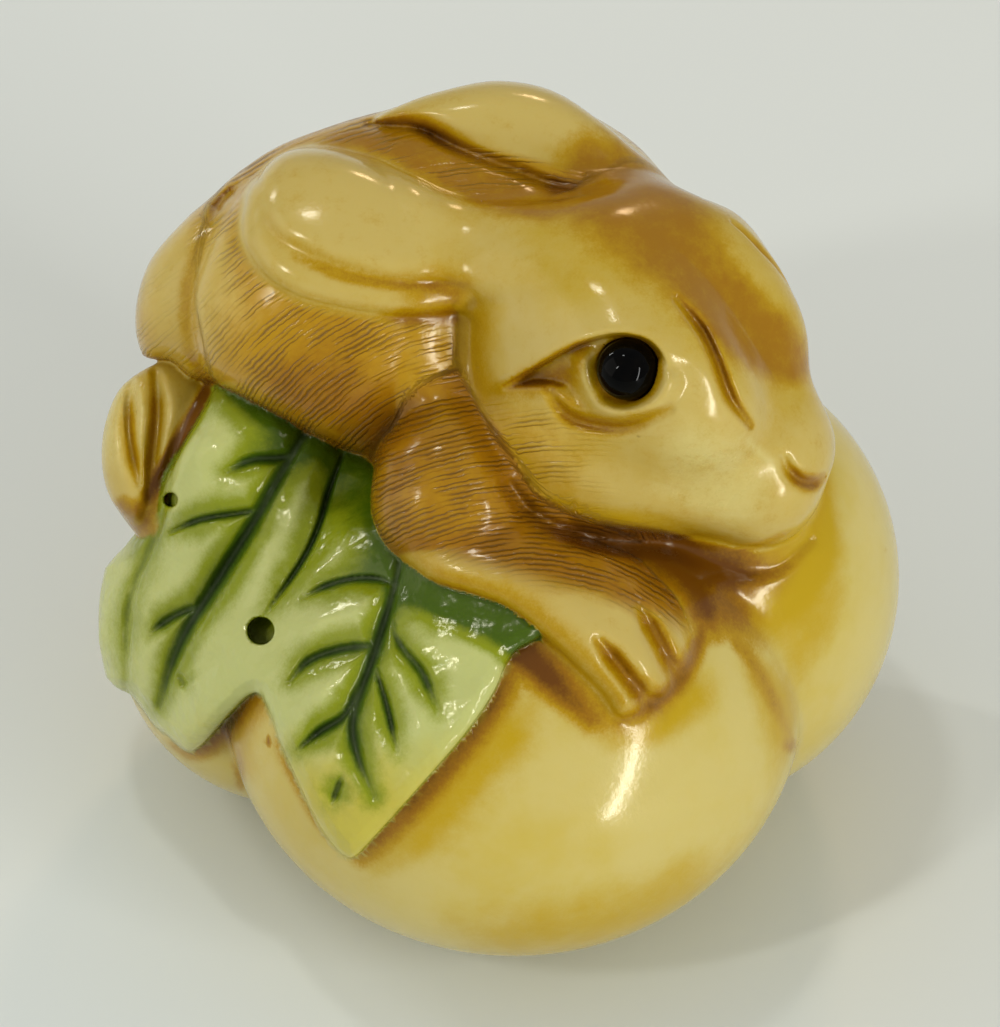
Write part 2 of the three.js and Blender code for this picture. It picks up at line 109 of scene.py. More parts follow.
def ramp(x, low, high):
    t = np.clip((x - low) / (high - low), 0, 1)
    return t * t * (3 - 2 * t)


def rounded(points, closed=True, steps=4):
    points = np.array(points, float)
    if not closed:
        points = np.vstack([2 * points[0] - points[1], points, 2 * points[-1] - points[-2]])
    count = len(points)
    made = []
    for i in (range(count) if closed else range(1, count - 2)):
        a, b, c, d = (points[(i + j) % count] for j in (-1, 0, 1, 2))
        for t in np.arange(steps) / steps:
            curve = 2 * b + (c - a) * t + (2 * a - 5 * b + 4 * c - d) * t * t
            made.append((curve + (3 * b - a - 3 * c + d) * t ** 3) / 2)
    if not closed:
        made.append(points[-2])
    return np.array(made)


# a flat grid over part of the carving plane, read back by interpolation
class Sheet:
    def __init__(self, low, high, step):
        self.low = np.array(low, float)
        self.step = step
        self.shape = tuple(np.ceil((np.array(high) - self.low) / step).astype(int) + 1)
        axes = [self.low[i] + step * np.arange(self.shape[i]) for i in (0, 1)]
        self.u, self.v = np.meshgrid(*axes, indexing="ij")
        self.value = np.zeros(self.shape)

    def read(self, u, v):
        x = np.clip((u - self.low[0]) / self.step, 0, self.shape[0] - 1.001)
        y = np.clip((v - self.low[1]) / self.step, 0, self.shape[1] - 1.001)
        i, j = x.astype(np.int32), y.astype(np.int32)
        x, y = x - i, y - j
        m = self.value
        low = m[i, j] * (1 - x) + m[i + 1, j] * x
        high = m[i, j + 1] * (1 - x) + m[i + 1, j + 1] * x
        return (low * (1 - y) + high * y).astype(np.float32)

    def lineDistance(self, line):
        best = np.full(self.shape, 1e9)
        share = np.zeros(self.shape)
        lengths = np.concatenate([[0], np.cumsum(np.linalg.norm(np.diff(line, axis=0), axis=1))])
        for i in range(len(line) - 1):
            step = line[i + 1] - line[i]
            du, dv = self.u - line[i, 0], self.v - line[i, 1]
            t = np.clip((du * step[0] + dv * step[1]) / (step @ step + 1e-12), 0, 1)
            d = (du - step[0] * t) ** 2 + (dv - step[1] * t) ** 2
            nearer = d < best
            best[nearer] = d[nearer]
            share[nearer] = (lengths[i] + t * (lengths[i + 1] - lengths[i]))[nearer] / lengths[-1]
        return np.sqrt(best), share

    def outline(self, points):
        ring = rounded(points)
        distance, _ = self.lineDistance(np.vstack([ring, ring[:1]]))
        inside = np.zeros(self.shape, bool)
        for a, b in zip(ring, np.roll(ring, -1, axis=0)):
            crosses = (a[1] > self.v) != (b[1] > self.v)
            rise = b[1] - a[1] if abs(b[1] - a[1]) > 1e-9 else 1e-9
            inside ^= crosses & (self.u < (b[0] - a[0]) * (self.v - a[1]) / rise + a[0])
        self.value = np.where(inside, -distance, distance)
        return self

    # a stroke that swells in its middle: its strength, 1 on the line
    def stroke(self, points, width, start=0.4, end=0.4):
        distance, share = self.lineDistance(rounded(points, closed=False))
        swell = np.interp(share, [0, 0.25, 0.75, 1], [start, 1, 1, end])
        return swell * np.exp(-(distance / (width * (0.5 + 0.5 * swell))) ** 2)


margin = 4.0


def planOf(points):
    points = np.array(points)
    low, high = points.min(0) - margin, points.max(0) + margin
    return Sheet(low, high, 0.08).outline(points)


def planDistance(plan, p):
    return plan.read(p[:, 0], p[:, 1])


def ripple(u, v, scale, seed, waves=10):
    random = np.random.default_rng(seed)
    total = np.zeros(np.shape(u), np.float32)
    for _ in range(waves):
        turn, phase = random.uniform(0, 2 * math.pi, 2)
        rate = 2 * math.pi / (scale * random.uniform(0.7, 1.5))
        total += np.sin(rate * (u * math.cos(turn) + v * math.sin(turn)) + phase).astype(np.float32)
    return total / math.sqrt(waves)


fruits = {    # world centre and world half sizes
    "front": ((0.75, -4.2, 11.5), (15.2, 15.2, 12.6)),
    "right": ((9.5, 3.2, 12.2), (11.6, 11.6, 12.6)),
    "left": ((-10.9, 3.0, 9.2), (9.5, 9.6, 9.9)),
    "back": ((-1.5, 8.8, 9.4), (10.5, 9.0, 9.9)),
    "crease": 0.5,
}
# centres and half sizes in the carving plane
bodyForms = {
    "rump": ((-7, 11.6, -1.9), (9.6, 8.9, 8)),
    "shoulder": ((0.6, 12.6, -1.9), (9.6, 9, 7.8)),
    "nape": ((-1, 16.6, -1), (8.6, 4.6, 6.4)),
    "chest": ((5, 3, 1.5), (7.5, 6.5, 7)),
    "elbow": ((-2.6, 0.6, 4.4), (6, 6.4, 6.2)),
    "haunch": ((-8.6, 11, 1), (9.2, 8.6, 7.8)),
    "shank": ((-11, 11.6, -2.4), (8.8, 7.6, 8)),
    "foot": ((-17.6, 4.2, -4.2), (4.2, 6.2, 4)),
    "earRoot": ((0.6, 13.6, 5), (6.6, 2.5, 3.6)),
    "farEar": ((0.4, 19.6, 0.8), (8.8, 4, 4)),
    "farHaunch": ((-9, 13.4, -5.4), (6.8, 5.8, 5.6)),
    "farShoulder": ((5.4, 13.8, -6.4), (4.6, 4.6, 4.4)),
    "tail": ((-14.8, 12.8, -6.6), (2.8, 2.6, 2.6)),
    "farHind": ((-9.5, 9, -11.4), (5, 2.6, 2.8)),
    "farFore": ((8.6, 8.6, -10.4), (2.8, 4.4, 2.6)),
    "mound": ((-12.6, 3, -2.6), (4.6, 5.2, 4.8)),      # what the upper leaf climbs
    "gapBed": ((-17, 1.2, -5.4), (2.9, 3.2, 4)),       # what fills the gap by the foot
}
# the same in the head's own frame, the last two on both its sides
headForms = {
    "skull": ((-3.4, 0, -0.6), (8.2, 7.4, 7.8)),
    "muzzle": ((3.2, 0, -1.6), (9.6, 5.6, 5.8)),
    "jowl": ((-0.4, 4, -4.6), (6.8, 4.6, 5)),
    "brow": ((-0.4, 4, 3.2), (6.4, 3.6, 4)),
}
leaf = {
    "thickness": 0.9,
    "edge": 0.35,
    "bridge": 5.0,           # how softly the blade spans the dip between two fruits
    "reach": -11.5,          # how far it runs round the side
    "carved": (-9, -7),      # where its carving fades out
    "pillow": 0.34,          # rise of the blade between its veins
    "veinDepth": 0.42,
    "hole": (-12.4, -5.9, 0.72, 1.6),
    "smallHole": (-17.2, 0.9, 0.38, 0.6),
}
hare = {
    "headAt": (8.2, 8.0, 4.5),
    "headTurn": math.radians(37.7),
    "headRoll": math.radians(45),
    "farDrop": 1.2,          # how much lower the far eye and brow are carved
    "lineDepth": 0.5,
    "lidDepth": 1.0,
    "creaseDepth": 0.7,
    "toeDepth": 0.8,
    "chinDepth": 0.9,
    "lobeRise": 1.3,
    "lipRise": 0.8,
}
farToes = {    # plain grooves across the hidden feet
    "depth": 0.4,
    "rate": 2.4,
    "power": 8,
}
eye = {
    "near": (6.5, 7.55, 12.4),
    "farOnHead": (-1.1, 6.8, 2.8),
    "radius": 1.6,
    "socket": 1.64,
}
cordTunnel = {
    "at": (-1.3, 17.7, 9.0),
    "reach": 4.6,
    "bore": 1.5,
}

# outlines in the carving plane
plans = {name: planOf(points) for name, points in {
    "haunch": [(-14.5, 15.9), (-15.4, 14), (-16.3, 11.6), (-16.3, 10.2), (-16.1, 8.8), (-15.4, 7.3),
               (-13.6, 6.3), (-11.6, 5.3), (-9.2, 3.9), (-6.6, 2.7), (-4, 4), (-1.6, 8), (-1.6, 12),
               (-3.6, 16), (-9, 19.4), (-12.6, 18.4)],
    "shank": [(-13, 18), (-15.5, 16.4), (-17, 15), (-18.3, 13.5), (-19, 11.9), (-19.4, 10.2),
              (-19.4, 8.9), (-18.9, 7.9), (-17.3, 8.2), (-15.8, 7.2), (-13.5, 8), (-13, 14)],
    "foot": [(-17.3, 8.3), (-19.7, 7), (-20.7, 5.1), (-21, 3), (-20.7, 1.2), (-19.8, 0), (-18.8, -0.2),
             (-18.2, 1.3), (-17.2, 3.2), (-16.1, 5), (-15.1, 6.6), (-15.6, 7.9)],
    "elbow": [(-5.4, 5.2), (-6.3, 3.8), (-6.7, 1.9), (-6.7, 0.3), (-6.1, -1.4), (-4.7, -2.7),
              (-2.6, -3.6), (-0.2, -2.7), (1.5, -1.3), (1.9, 0.2), (0.9, 2.4), (-0.2, 5.5),
              (-1.4, 9.5), (-3.8, 9.8)],
    "arm": [(-5.2, -1.4), (-3.8, -3.3), (-1.2, -4.2), (0.5, -4.9), (3.1, -7), (5.1, -9), (6, -10.3),
            (7, -10.2), (7.7, -9.5), (8.6, -9.3), (9.2, -8.3), (9.9, -7.4), (9.9, -6), (9.2, -4.3),
            (8, -3), (5.6, -0.6), (2, 1.5), (-2, 1)],
    "head": [(-1.6, 10.8), (-1.6, 8.2), (-1, 4.7), (0.1, 2), (1.5, 0.2), (3.6, -0.6), (7.3, -0.9),
             (10, -1.4), (12.2, -2), (13.6, -2.1), (15.1, -1.3), (16.3, 0.1), (17, 1.7), (17.7, 3),
             (18, 4.5), (17.6, 6.4), (16.8, 8.5), (15.9, 10.7), (15.1, 12.4), (14.2, 14),
             (12.7, 16.1), (10.8, 17.1), (7.5, 18.5), (4.5, 16.6), (3, 15.4), (0, 14.6), (-1.4, 13)],
    "lobe": [(4.6, 14), (3.1, 15.1), (0, 15.6), (-3.2, 17), (-5, 17.9), (-6.7, 18.7), (-9.1, 19.3),
             (-11.2, 19.1), (-12.4, 17.9), (-12.7, 16.3), (-12.4, 15.1), (-11.7, 14.2),
             (-10.5, 13.5), (-8.7, 12.7), (-6.7, 12.1), (-5, 11.8), (-2, 11.9), (0.5, 11),
             (3.5, 11.5)],
    "lip": [(-12.9, 17.3), (-13.3, 16), (-13.4, 14.8), (-13.1, 13.7), (-12.1, 12.3), (-10.5, 11.3),
            (-8.7, 10.8), (-6.4, 10.4), (-4.5, 10.3), (-2.4, 10.5), (-1.3, 10.8), (-1, 12), (-5, 13),
            (-9, 15), (-11.5, 17.5)],
    "farEar": [(-6.5, 20.6), (-5, 21.5), (-2.6, 22.3), (0, 22.8), (2.7, 22.3), (5.2, 20.6),
               (7.4, 18.7), (9.2, 17.2), (8.4, 15.8), (6, 16.4), (4.7, 17.1), (1.6, 17.4), (0, 18),
               (-2, 19.1), (-4, 20.2)],
    "leaf": [(-14.5, 7.2), (-12.5, 7.2), (-9, 6), (-6, 3), (-3, 0.5), (-0.5, -2.8), (2, -5.2),
             (2.1, -6.1), (0.6, -7), (-0.3, -8.9), (-1.7, -11), (-4.2, -13.9), (-6.6, -16.6),
             (-7.8, -17.6), (-9, -16.4), (-9.9, -14.8), (-11.2, -12), (-12, -9.9), (-12.7, -9.1),
             (-14, -10.2), (-15.6, -11.9), (-16.5, -12.3), (-17.5, -11.5), (-18.2, -11),
             (-19.4, -9.5), (-20.6, -9.2), (-24, -9), (-24, -3),
             (-20.5, -1.9), (-19.5, -1.1), (-18.8, -0.2), (-18.2, 1.2), (-17.2, 2.6), (-16.3, 4.1),
             (-15.3, 5.8)],
    "eyeHollow": [(0.1, 6.6), (1.9, 7.8), (3.6, 8.75), (5, 9.25), (6.2, 9.4), (7.5, 9.1), (8.3, 8.3),
                  (8.5, 7.2), (8, 6), (6.8, 5.2), (5.4, 5), (4.2, 5.1), (3.2, 5.7), (2, 6.4)],
}.items()}
print("outlines drawn")

# veins: course, half width, strength
veins = [
    ([(-9.4, 5.6), (-10.8, 3.3), (-12.6, 0.1), (-14.5, -3), (-16.7, -6.6), (-17.9, -10)], 0.36, 1.0),
    ([(-14.2, 2.4), (-12.8, 3), (-11.2, 3.1), (-10.4, 3.7)], 0.26, 0.9),
    ([(-17.2, -0.8), (-15.5, -0.1), (-13.1, 0.3), (-12, 0.8)], 0.2, 0.8),
    ([(-18.3, -6.1), (-17.2, -5.3), (-16.1, -4.8), (-15.4, -4.7)], 0.26, 0.8),
    ([(-8.2, 3.2), (-8.9, 1.3), (-9.4, -0.5), (-10.3, -2.4), (-12.1, -5)], 0.17, 0.8),
    ([(-10.2, -4.2), (-9, -3.6), (-7.6, -3.2), (-6.2, -3.2), (-5.3, -3.6)], 0.2, 0.8),
    ([(-5.2, -2.4), (-5.4, -3.5), (-6.4, -6.9), (-7.5, -10.2), (-7.3, -12.3), (-6.5, -14.3)], 0.33, 1.0),
    ([(-10.8, -8.5), (-9.8, -7.4), (-8.1, -6.8), (-6.6, -6.6), (-6.2, -6.3)], 0.26, 0.9),
    ([(-10.4, -12), (-9.2, -11), (-7.9, -10.1), (-7, -8)], 0.26, 0.9),
    ([(-5.6, -5.3), (-5.1, -6.6), (-4, -8), (-3.2, -9.9)], 0.26, 0.8),
    ([(-6.5, -7.3), (-5.7, -10.1), (-5.3, -12)], 0.22, 0.8),
    ([(-8.1, -13.3), (-8.6, -14.7)], 0.2, 0.6),
    ([(-16.8, -8.2), (-16.4, -8.9)], 0.2, 0.5),
    ([(-17.4, 0.9), (-18, -0.8), (-18.9, -2.8), (-19.4, -4.2), (-19.6, -5.7), (-19.7, -9.3)], 0.26, 0.5),
]
toeCuts = [
    ([(5.1, -6.4), (6.3, -7.9), (7.6, -9.6)], 0.5, 1.0),
    ([(7.1, -4.5), (8.1, -6.4), (9.3, -8.7)], 0.5, 1.0),
    ([(-19.3, 6.9), (-19.4, 4.5), (-18.9, 1.8)], 0.42, 0.9),
    ([(-18, 7.6), (-17.9, 5.1), (-18.4, 1.4)], 0.46, 1.0),
]
# on the head these are as seen from its near side, and repeat on the far side
browFold = [(9, 11.2), (10.3, 9.6), (11.1, 7.9), (11.8, 6.1), (12.8, 4.7)]
mouth = [(12.1, -1.8), (13.7, -1.35), (15.2, -0.7)]
faceCuts = [
    (browFold, 0.3, 1.0),
    ([(14.6, 3), (14.9, 2.4), (15.5, 1.9), (16.2, 1.8), (16.8, 2.1)], 0.34, 1.1),
    ([(2.5, 6.5), (3.0, 5.7), (3.9, 5), (5.4, 4.7), (6.8, 4.8), (8.7, 5.5)], 0.36, 0.8),
    (mouth, 0.18, 0.5),
]
bodyCuts = [
    ([(-1.6, 10.8), (-1.4, 8.4), (-1.1, 6.0), (-0.4, 3.6), (0.4, 1.6)], 0.6, 0.2),
    ([(-15, 15.6), (-14.4, 16.5), (-13.6, 17.3)], 0.35, 0.6),
    ([(-6.8, 20.4), (-5.2, 20.8), (-4, 20.4), (-2.8, 19.5), (-1.1, 18.7), (0.7, 18), (2.5, 17.3),
      (4, 17), (5.1, 17.3)], 0.4, 0.9),
]
# the groove that sets the cheek and chin off from what lies under them
chinCuts = [
    ([(0.5, 1.6), (1.6, 0.2), (3.4, -0.8), (6, -1.2), (8, -1.3), (10, -1.8), (12.4, -2.7),
      (14.4, -2.5), (16, -1.2)], 0.6, 1.0),
]


def reliefOf(strokes, low, high):
    sheet = Sheet(low, high, 0.05)
    for points, width, strength in strokes:
        sheet.value = np.maximum(sheet.value, strength * sheet.stroke(points, width))
    return sheet


veinInk = reliefOf(veins, (-23, -19), (3, 8))
veinSoft = Sheet((-23, -19), (3, 8), 0.1)
for points, width, strength in veins:
    veinSoft.value = np.maximum(veinSoft.value, strength * veinSoft.stroke(points, 1.2, 0.6, 0.6))
pillow = Sheet((-23, -19), (3, 8), 0.1)
pillow.value = 0.5 - veinSoft.value + 0.22 * ripple(pillow.u, pillow.v, 3.2, 5)
toeInk = reliefOf(toeCuts, (-22, -12), (11, 9))
faceInk = reliefOf(faceCuts, (-3, -4), (20, 19))
bodyInk = reliefOf(bodyCuts, (-17, -1), (7, 23))
chinInk = reliefOf(chinCuts, (-3, -6), (19, 6))
# the eye's hollow: a sharp ledge above, an easy slope below, and the lower lid as a ring in it
hollow = Sheet((-3, 2), (12, 12), 0.05)
hollowEdge = plans["eyeHollow"].read(hollow.u, hollow.v)
around = np.hypot(hollow.u - eye["near"][0], hollow.v - eye["near"][1])
lidShare = ramp(eye["near"][1] + 0.9 - hollow.v + 0.25 * (eye["near"][0] - hollow.u), 0, 1.2)
ledge = ramp(hollow.v - 6.2 - 0.12 * hollow.u, 0, 1.2)
hollow.value = 0.8 * ramp(-hollowEdge / (1.3 - 1.1 * ledge), 0, 1)
hollow.value -= 0.3 * ledge * ramp(hollowEdge, -0.05, 0.05) * np.exp(-(hollowEdge / 0.9) ** 2)
hollow.value -= 0.6 * lidShare * np.exp(-((around - 2.25) / 0.5) ** 2)
print("carved lines drawn")

headForward = np.array([math.cos(hare["headTurn"]), -math.sin(hare["headTurn"]), 0])
headAcross = np.array([math.sin(hare["headTurn"]), math.cos(hare["headTurn"]), 0])
rollCos, rollSin = math.cos(hare["headRoll"]), math.sin(hare["headRoll"])
headSide = rollCos * headAcross - rollSin * np.array([0, 0, 1])
headUp = rollSin * headAcross + rollCos * np.array([0, 0, 1])
headAxes = np.array([headForward, headSide, headUp])


def onHead(p):
    return (p - np.array(hare["headAt"], np.float32)) @ headAxes.astype(np.float32).T


def fromHead(place):
    return np.array(hare["headAt"]) + np.array(place) @ headAxes


farEye = fromHead(eye["farOnHead"])
worldEyes = toWorld(np.array([eye["near"], farEye]))


def fruit(p, name):
    at, half = fruits[name]
    return ellipsoid(p, toPlane(*at), half, worldAxes)


def toesAcross(way):
    return farToes["depth"] * np.sin(way * farToes["rate"]) ** farToes["power"]


def bodyForm(p, name, axes=None):
    return ellipsoid(p, *bodyForms[name], axes)


def headForm(p):
    q = onHead(p)
    m = np.stack([q[:, 0], np.abs(q[:, 1]), q[:, 2]], -1)
    d = ellipsoid(q, *headForms["skull"])
    d = blend(d, ellipsoid(q, *headForms["muzzle"]), 3)
    d = blend(d, ellipsoid(m, *headForms["jowl"]), 3)
    d = blend(d, ellipsoid(m, *headForms["brow"]), 2.5)
    across = (q[:, 2] - np.abs(q[:, 1])) * math.sqrt(0.5) + np.where(q[:, 1] > 0, hare["farDrop"], 0)
    u = hare["headAt"][0] + q[:, 0] * headForward[0] + across * headAcross[0]
    v = hare["headAt"][1] + q[:, 0] * headForward[1] + across * headAcross[1]
    d = d + hare["lineDepth"] * faceInk.read(u, v) + hare["lidDepth"] * hollow.read(u, v)
    return trim(d, planDistance(plans["head"], p), 2.2), u, v


# how far each place is from every form, by name, and from the joined surface
def carve(p):
    u, v, w = p[:, 0], p[:, 1], p[:, 2]
    form = {}
    front, left = fruit(p, "front"), fruit(p, "left")
    cluster = front
    for other in (fruit(p, "right"), left, fruit(p, "back")):
        cluster = blend(cluster, other, fruits["crease"])
    rise = bodyForm(p, "mound")
    form["fruit"] = blend(blend(cluster, rise, 1), bodyForm(p, "gapBed"), 1)

    edge = planDistance(plans["leaf"], p)
    bridge = 0.5 + (leaf["bridge"] - 0.5) * np.clip((w + 9) / 5, 0, 1)
    thick = leaf["thickness"] * np.clip(0.55 - edge / 1.6, 0.55, 1)
    shown = ramp(w, *leaf["carved"])
    ink = veinInk.read(u, v) * shown
    blade = blend(blend(left, front, bridge), rise, 3) - thick - leaf["pillow"] * pillow.read(u, v) * shown
    blade = trim(blade + leaf["veinDepth"] * ink, edge * 0.9, leaf["edge"])
    form["leaf"] = trim(blade, leaf["reach"] - w, 0.3)

    torso = blend(bodyForm(p, "rump"), bodyForm(p, "shoulder"), 4)
    torso = blend(blend(torso, bodyForm(p, "nape"), 2), bodyForm(p, "chest"), 3)
    form["elbow"] = trim(bodyForm(p, "elbow"), planDistance(plans["elbow"], p), 2.6)
    form["trunk"] = blend(torso, form["elbow"], 2.2)

    farSide = blend(bodyForm(p, "farHaunch"), bodyForm(p, "farShoulder"), 0.4)
    body = blend(form["trunk"], blend(farSide, bodyForm(p, "tail"), 0.4), 0.7)
    farHind = bodyForm(p, "farHind") + ramp(u, -10.5, -12.5) * toesAcross(v - 9)
    farFore = bodyForm(p, "farFore", axesOf((1, 0.35, 0), (-0.35, 1, 0.35)))
    farFore = farFore + ramp(v, 7.6, 5.8) * toesAcross(u - 8.6)
    form["farFeet"] = np.minimum(farHind, farFore)

    form["shank"] = trim(bodyForm(p, "shank"), planDistance(plans["shank"], p), 1.6)
    body = blend(body, form["shank"], 0.5)
    form["haunch"] = trim(bodyForm(p, "haunch"), planDistance(plans["haunch"], p), 2.4)
    body = blend(body, form["haunch"], 0.3 + 2.4 * ramp(v, 4.3, 6.5) * ramp(u, -6.5, -4))
    body = body + hare["creaseDepth"] * bodyInk.read(u, v) * ramp(w, -4, -2)

    lobe = trim(body - hare["lobeRise"], planDistance(plans["lobe"], p), 1.7)
    lip = trim(body - hare["lipRise"], planDistance(plans["lip"], p), 1.3)
    form["lobe"] = trim(lobe, 0.5 - w, 1)
    form["lip"] = trim(lip, 0.5 - w, 1)
    ear = blend(form["lobe"], form["lip"], 0.15)

    form["head"], faceU, faceV = headForm(p)
    chin = hare["chinDepth"] * chinInk.read(u, v) * ramp(w, 0, 2)
    toes = toeInk.read(u, v)
    rise = 2.6 - 0.1 * np.clip(u, 0, 9) - hare["toeDepth"] * toes
    form["arm"] = trim(front - rise, planDistance(plans["arm"], p), 2.6)
    joined = blend(blend(body, ear, 0.2), form["arm"], 0.3) + chin
    form["earRoot"] = bodyForm(p, "earRoot", axesOf((1, -0.12, 0.4), (0.12, 1, 0)))
    joined = blend(joined, form["earRoot"], 1.5)
    soft = 0.4 + 1.2 * ramp(u, 4.5, 1.5) * ramp(v, 1.5, 4.5)
    soft = soft + (3 - soft) * ramp(v, 10.8, 12.4)
    joined = blend(joined, form["head"], soft)
    farEar = bodyForm(p, "farEar", axesOf((1, -0.16, 0), (0, 0.8, -0.6)))
    form["farEar"] = trim(farEar, planDistance(plans["farEar"], p), 1.5)
    joined = blend(joined, form["farEar"], 0.4)

    foot = bodyForm(p, "foot") + hare["toeDepth"] * toes
    form["foot"] = trim(foot, planDistance(plans["foot"], p), 1.3)
    joined = blend(joined, form["foot"], 0.3)
    form["hare"] = joined

    form["fruit"] = form["fruit"] + 0.5 * chin
    whole = blend(blend(form["farFeet"], form["fruit"], 1.6), joined, 0.6)
    whole = np.minimum(whole, form["leaf"])
    for hole in (leaf["hole"], leaf["smallHole"]):
        inHole = hole[2] - np.hypot(u - hole[0], v - hole[1])
        bore = np.minimum(inHole, whole + hole[3])
        whole = trim(whole, np.where(w > leaf["carved"][0], bore, -5), 0.15)
    for place in (eye["near"], farEye):
        whole = trim(whole, -ball(p, place, eye["socket"]), 0.1)
    x, y, z = (p @ worldAxes.T + np.array([0, 0, plane["height"]], np.float32)).T
    ring = np.hypot(x - cordTunnel["at"][0], y - cordTunnel["at"][1]) - cordTunnel["reach"]
    tunnel = np.hypot(ring, z - cordTunnel["at"][2]) - cordTunnel["bore"]
    whole = trim(whole, -tunnel, 0.5)
    form["whole"] = trim(whole, -z, 0.15)
    form["veinInk"], form["faceU"], form["faceV"] = ink, faceU, faceV
    return form


def distance(p):
    made = np.empty(len(p), np.float32)
    for i in range(0, len(p), chunk):
        made[i:i + chunk] = carve(p[i:i + chunk])["whole"]
    return made


def surfaceNet(field, low, step):
    inside = field < 0
    corners = [(i, j, k) for i in (0, 1) for j in (0, 1) for k in (0, 1)]
    size = np.array(field.shape) - 1
    window = lambda grid, c: grid[c[0]:c[0] + size[0], c[1]:c[1] + size[1], c[2]:c[2] + size[2]]
    count = sum(window(inside, c).astype(np.int8) for c in corners)
    cells = np.argwhere((count > 0) & (count < 8)).astype(np.int32)
    number = np.full(tuple(size), -1, np.int32)
    number[tuple(cells.T)] = np.arange(len(cells))
    total = np.zeros((len(cells), 3))
    crossings = np.zeros(len(cells))
    at = {c: field[tuple((cells + np.array(c, np.int32)).T)] for c in corners}
    for a in corners:
        for axis in range(3):
            if a[axis]:
                continue
            b = tuple(n + (i == axis) for i, n in enumerate(a))
            cut = (at[a] < 0) != (at[b] < 0)
            share = at[a][cut] / (at[a][cut] - at[b][cut])
            place = np.tile(np.array(a, float), (cut.sum(), 1))
            place[:, axis] = share
            total[cut] += place
            crossings[cut] += 1
    points = low + step * (cells + total / crossings[:, None])
    faces = []
    for axis in range(3):
        other, third = (axis + 1) % 3, (axis + 2) % 3
        first = [slice(None)] * 3
        second = [slice(None)] * 3
        first[axis], second[axis] = slice(0, -1), slice(1, None)
        changes = inside[tuple(first)] != inside[tuple(second)]
        edges = np.argwhere(changes)
        edges = edges[(edges[:, other] > 0) & (edges[:, third] > 0)]
        edges = edges[(edges[:, other] < size[other]) & (edges[:, third] < size[third])]
        ring = []
        for back in ((1, 1), (0, 1), (0, 0), (1, 0)):
            cell = edges.copy()
            cell[:, other] -= back[0]
            cell[:, third] -= back[1]
            ring.append(number[tuple(cell.T)])
        quads = np.stack(ring, -1)
        leaving = inside[tuple(edges.T)]
        quads[~leaving] = quads[~leaving][:, ::-1]
        faces.append(quads)
    return points.astype(np.float32), np.vstack(faces)


# keeps the skin itself and drops the crumbs that the grid leaves where two forms almost touch
def withoutCrumbs(points, faces):
    part = np.arange(len(points))
    while True:
        joined = part.copy()
        np.minimum.at(joined, faces, part[faces].min(1)[:, None])
        joined = joined[joined]
        if (joined == part).all():
            break
        part = joined
    main = np.bincount(part[faces[:, 0]]).argmax()
    used, numbers = np.unique(faces[part[faces[:, 0]] == main], return_inverse=True)
    return points[used], numbers.reshape(-1, faces.shape[1])


skin = {
    "step": 0.15,    # spacing of the fine grid
    "coarse": 4,                        # fine steps in a coarse one
    "edge": 1.2,                        # grid kept free round the carving
    "faces": 190000,
}


def carvedSkin():
    step, coarse = skin["step"], skin["coarse"]
    low = np.array([cadBox[0][i] / mm for i in range(3)]) - skin["edge"]
    high = np.array([cadBox[1][i] / mm for i in range(3)]) + skin["edge"]
    blocks = np.ceil((high - low) / (step * coarse)).astype(int)
    toGrid = lambda world: toPlane(*world.T).astype(np.float32)
    index = np.indices(blocks).reshape(3, -1).T
    middle = low + (index + 0.5 - 0.5 / coarse) * step * coarse
    rough = distance(toGrid(middle))
    close = np.abs(rough) < step * coarse * 1.6 + 0.3
    field = np.repeat(np.repeat(np.repeat(rough.reshape(blocks), coarse, 0), coarse, 1), coarse, 2)
    inner = np.indices((coarse,) * 3).reshape(3, -1).T
    nodes = (index[close][:, None, :] * coarse + inner[None]).reshape(-1, 3)
    print(f"carving: {len(nodes)} grid points near the surface")
    field[tuple(nodes.T)] = distance(toGrid(low + nodes * step))
    points, faces = withoutCrumbs(*surfaceNet(field, low, step))
    return settle(toGrid(points), 2), faces


def slope(points, reach=0.05):
    made = np.empty_like(points)
    for axis in range(3):
        move = np.zeros(3, np.float32)
        move[axis] = reach
        made[:, axis] = (distance(points + move) - distance(points - move)) / (2 * reach)
    return made


def settle(points, rounds):
    for _ in range(rounds):
        away = distance(points)
        lean = slope(points)
        size = np.maximum((lean ** 2).sum(-1), 0.25)
        points = points - np.clip(away / size, -0.08, 0.08)[:, None] * lean
    return points


def meshOf(name, worldPoints, faces):
    mesh = bpy.data.meshes.new(name)
    mesh.vertices.add(len(worldPoints))
    mesh.vertices.foreach_set("co", (worldPoints * mm).astype(np.float32).ravel())
    mesh.loops.add(faces.size)
    mesh.loops.foreach_set("vertex_index", faces.astype(np.int32).ravel())
    mesh.polygons.add(len(faces))
    mesh.polygons.foreach_set("loop_start", np.arange(len(faces), dtype=np.int32) * faces.shape[1])
    mesh.update(calc_edges=True)
    mesh.validate()
    piece = bpy.data.objects.new(name, mesh)
    bpy.context.scene.collection.objects.link(piece)
    return piece


def thinned(piece, most):
    triangles = sum(len(face.vertices) - 2 for face in piece.data.polygons)
    if triangles > most:
        modifier = piece.modifiers.new("thin", "DECIMATE")
        modifier.ratio = most / triangles
        modifier.use_collapse_triangulate = True
        graph = bpy.context.evaluated_depsgraph_get()
        mesh = bpy.data.meshes.new_from_object(piece.evaluated_get(graph))
        piece.modifiers.remove(modifier)
        old, piece.data = piece.data, mesh
        bpy.data.meshes.remove(old)
        piece.data.name = piece.name
    piece.data.shade_smooth()
    return piece


planePoints, faces = carvedSkin()
print(f"carving: {len(planePoints)} points, {len(faces)} faces")
carving = thinned(meshOf("carvedBody", toWorld(planePoints), faces), skin["faces"])
print(f"carving: {len(carving.data.polygons)} faces kept")


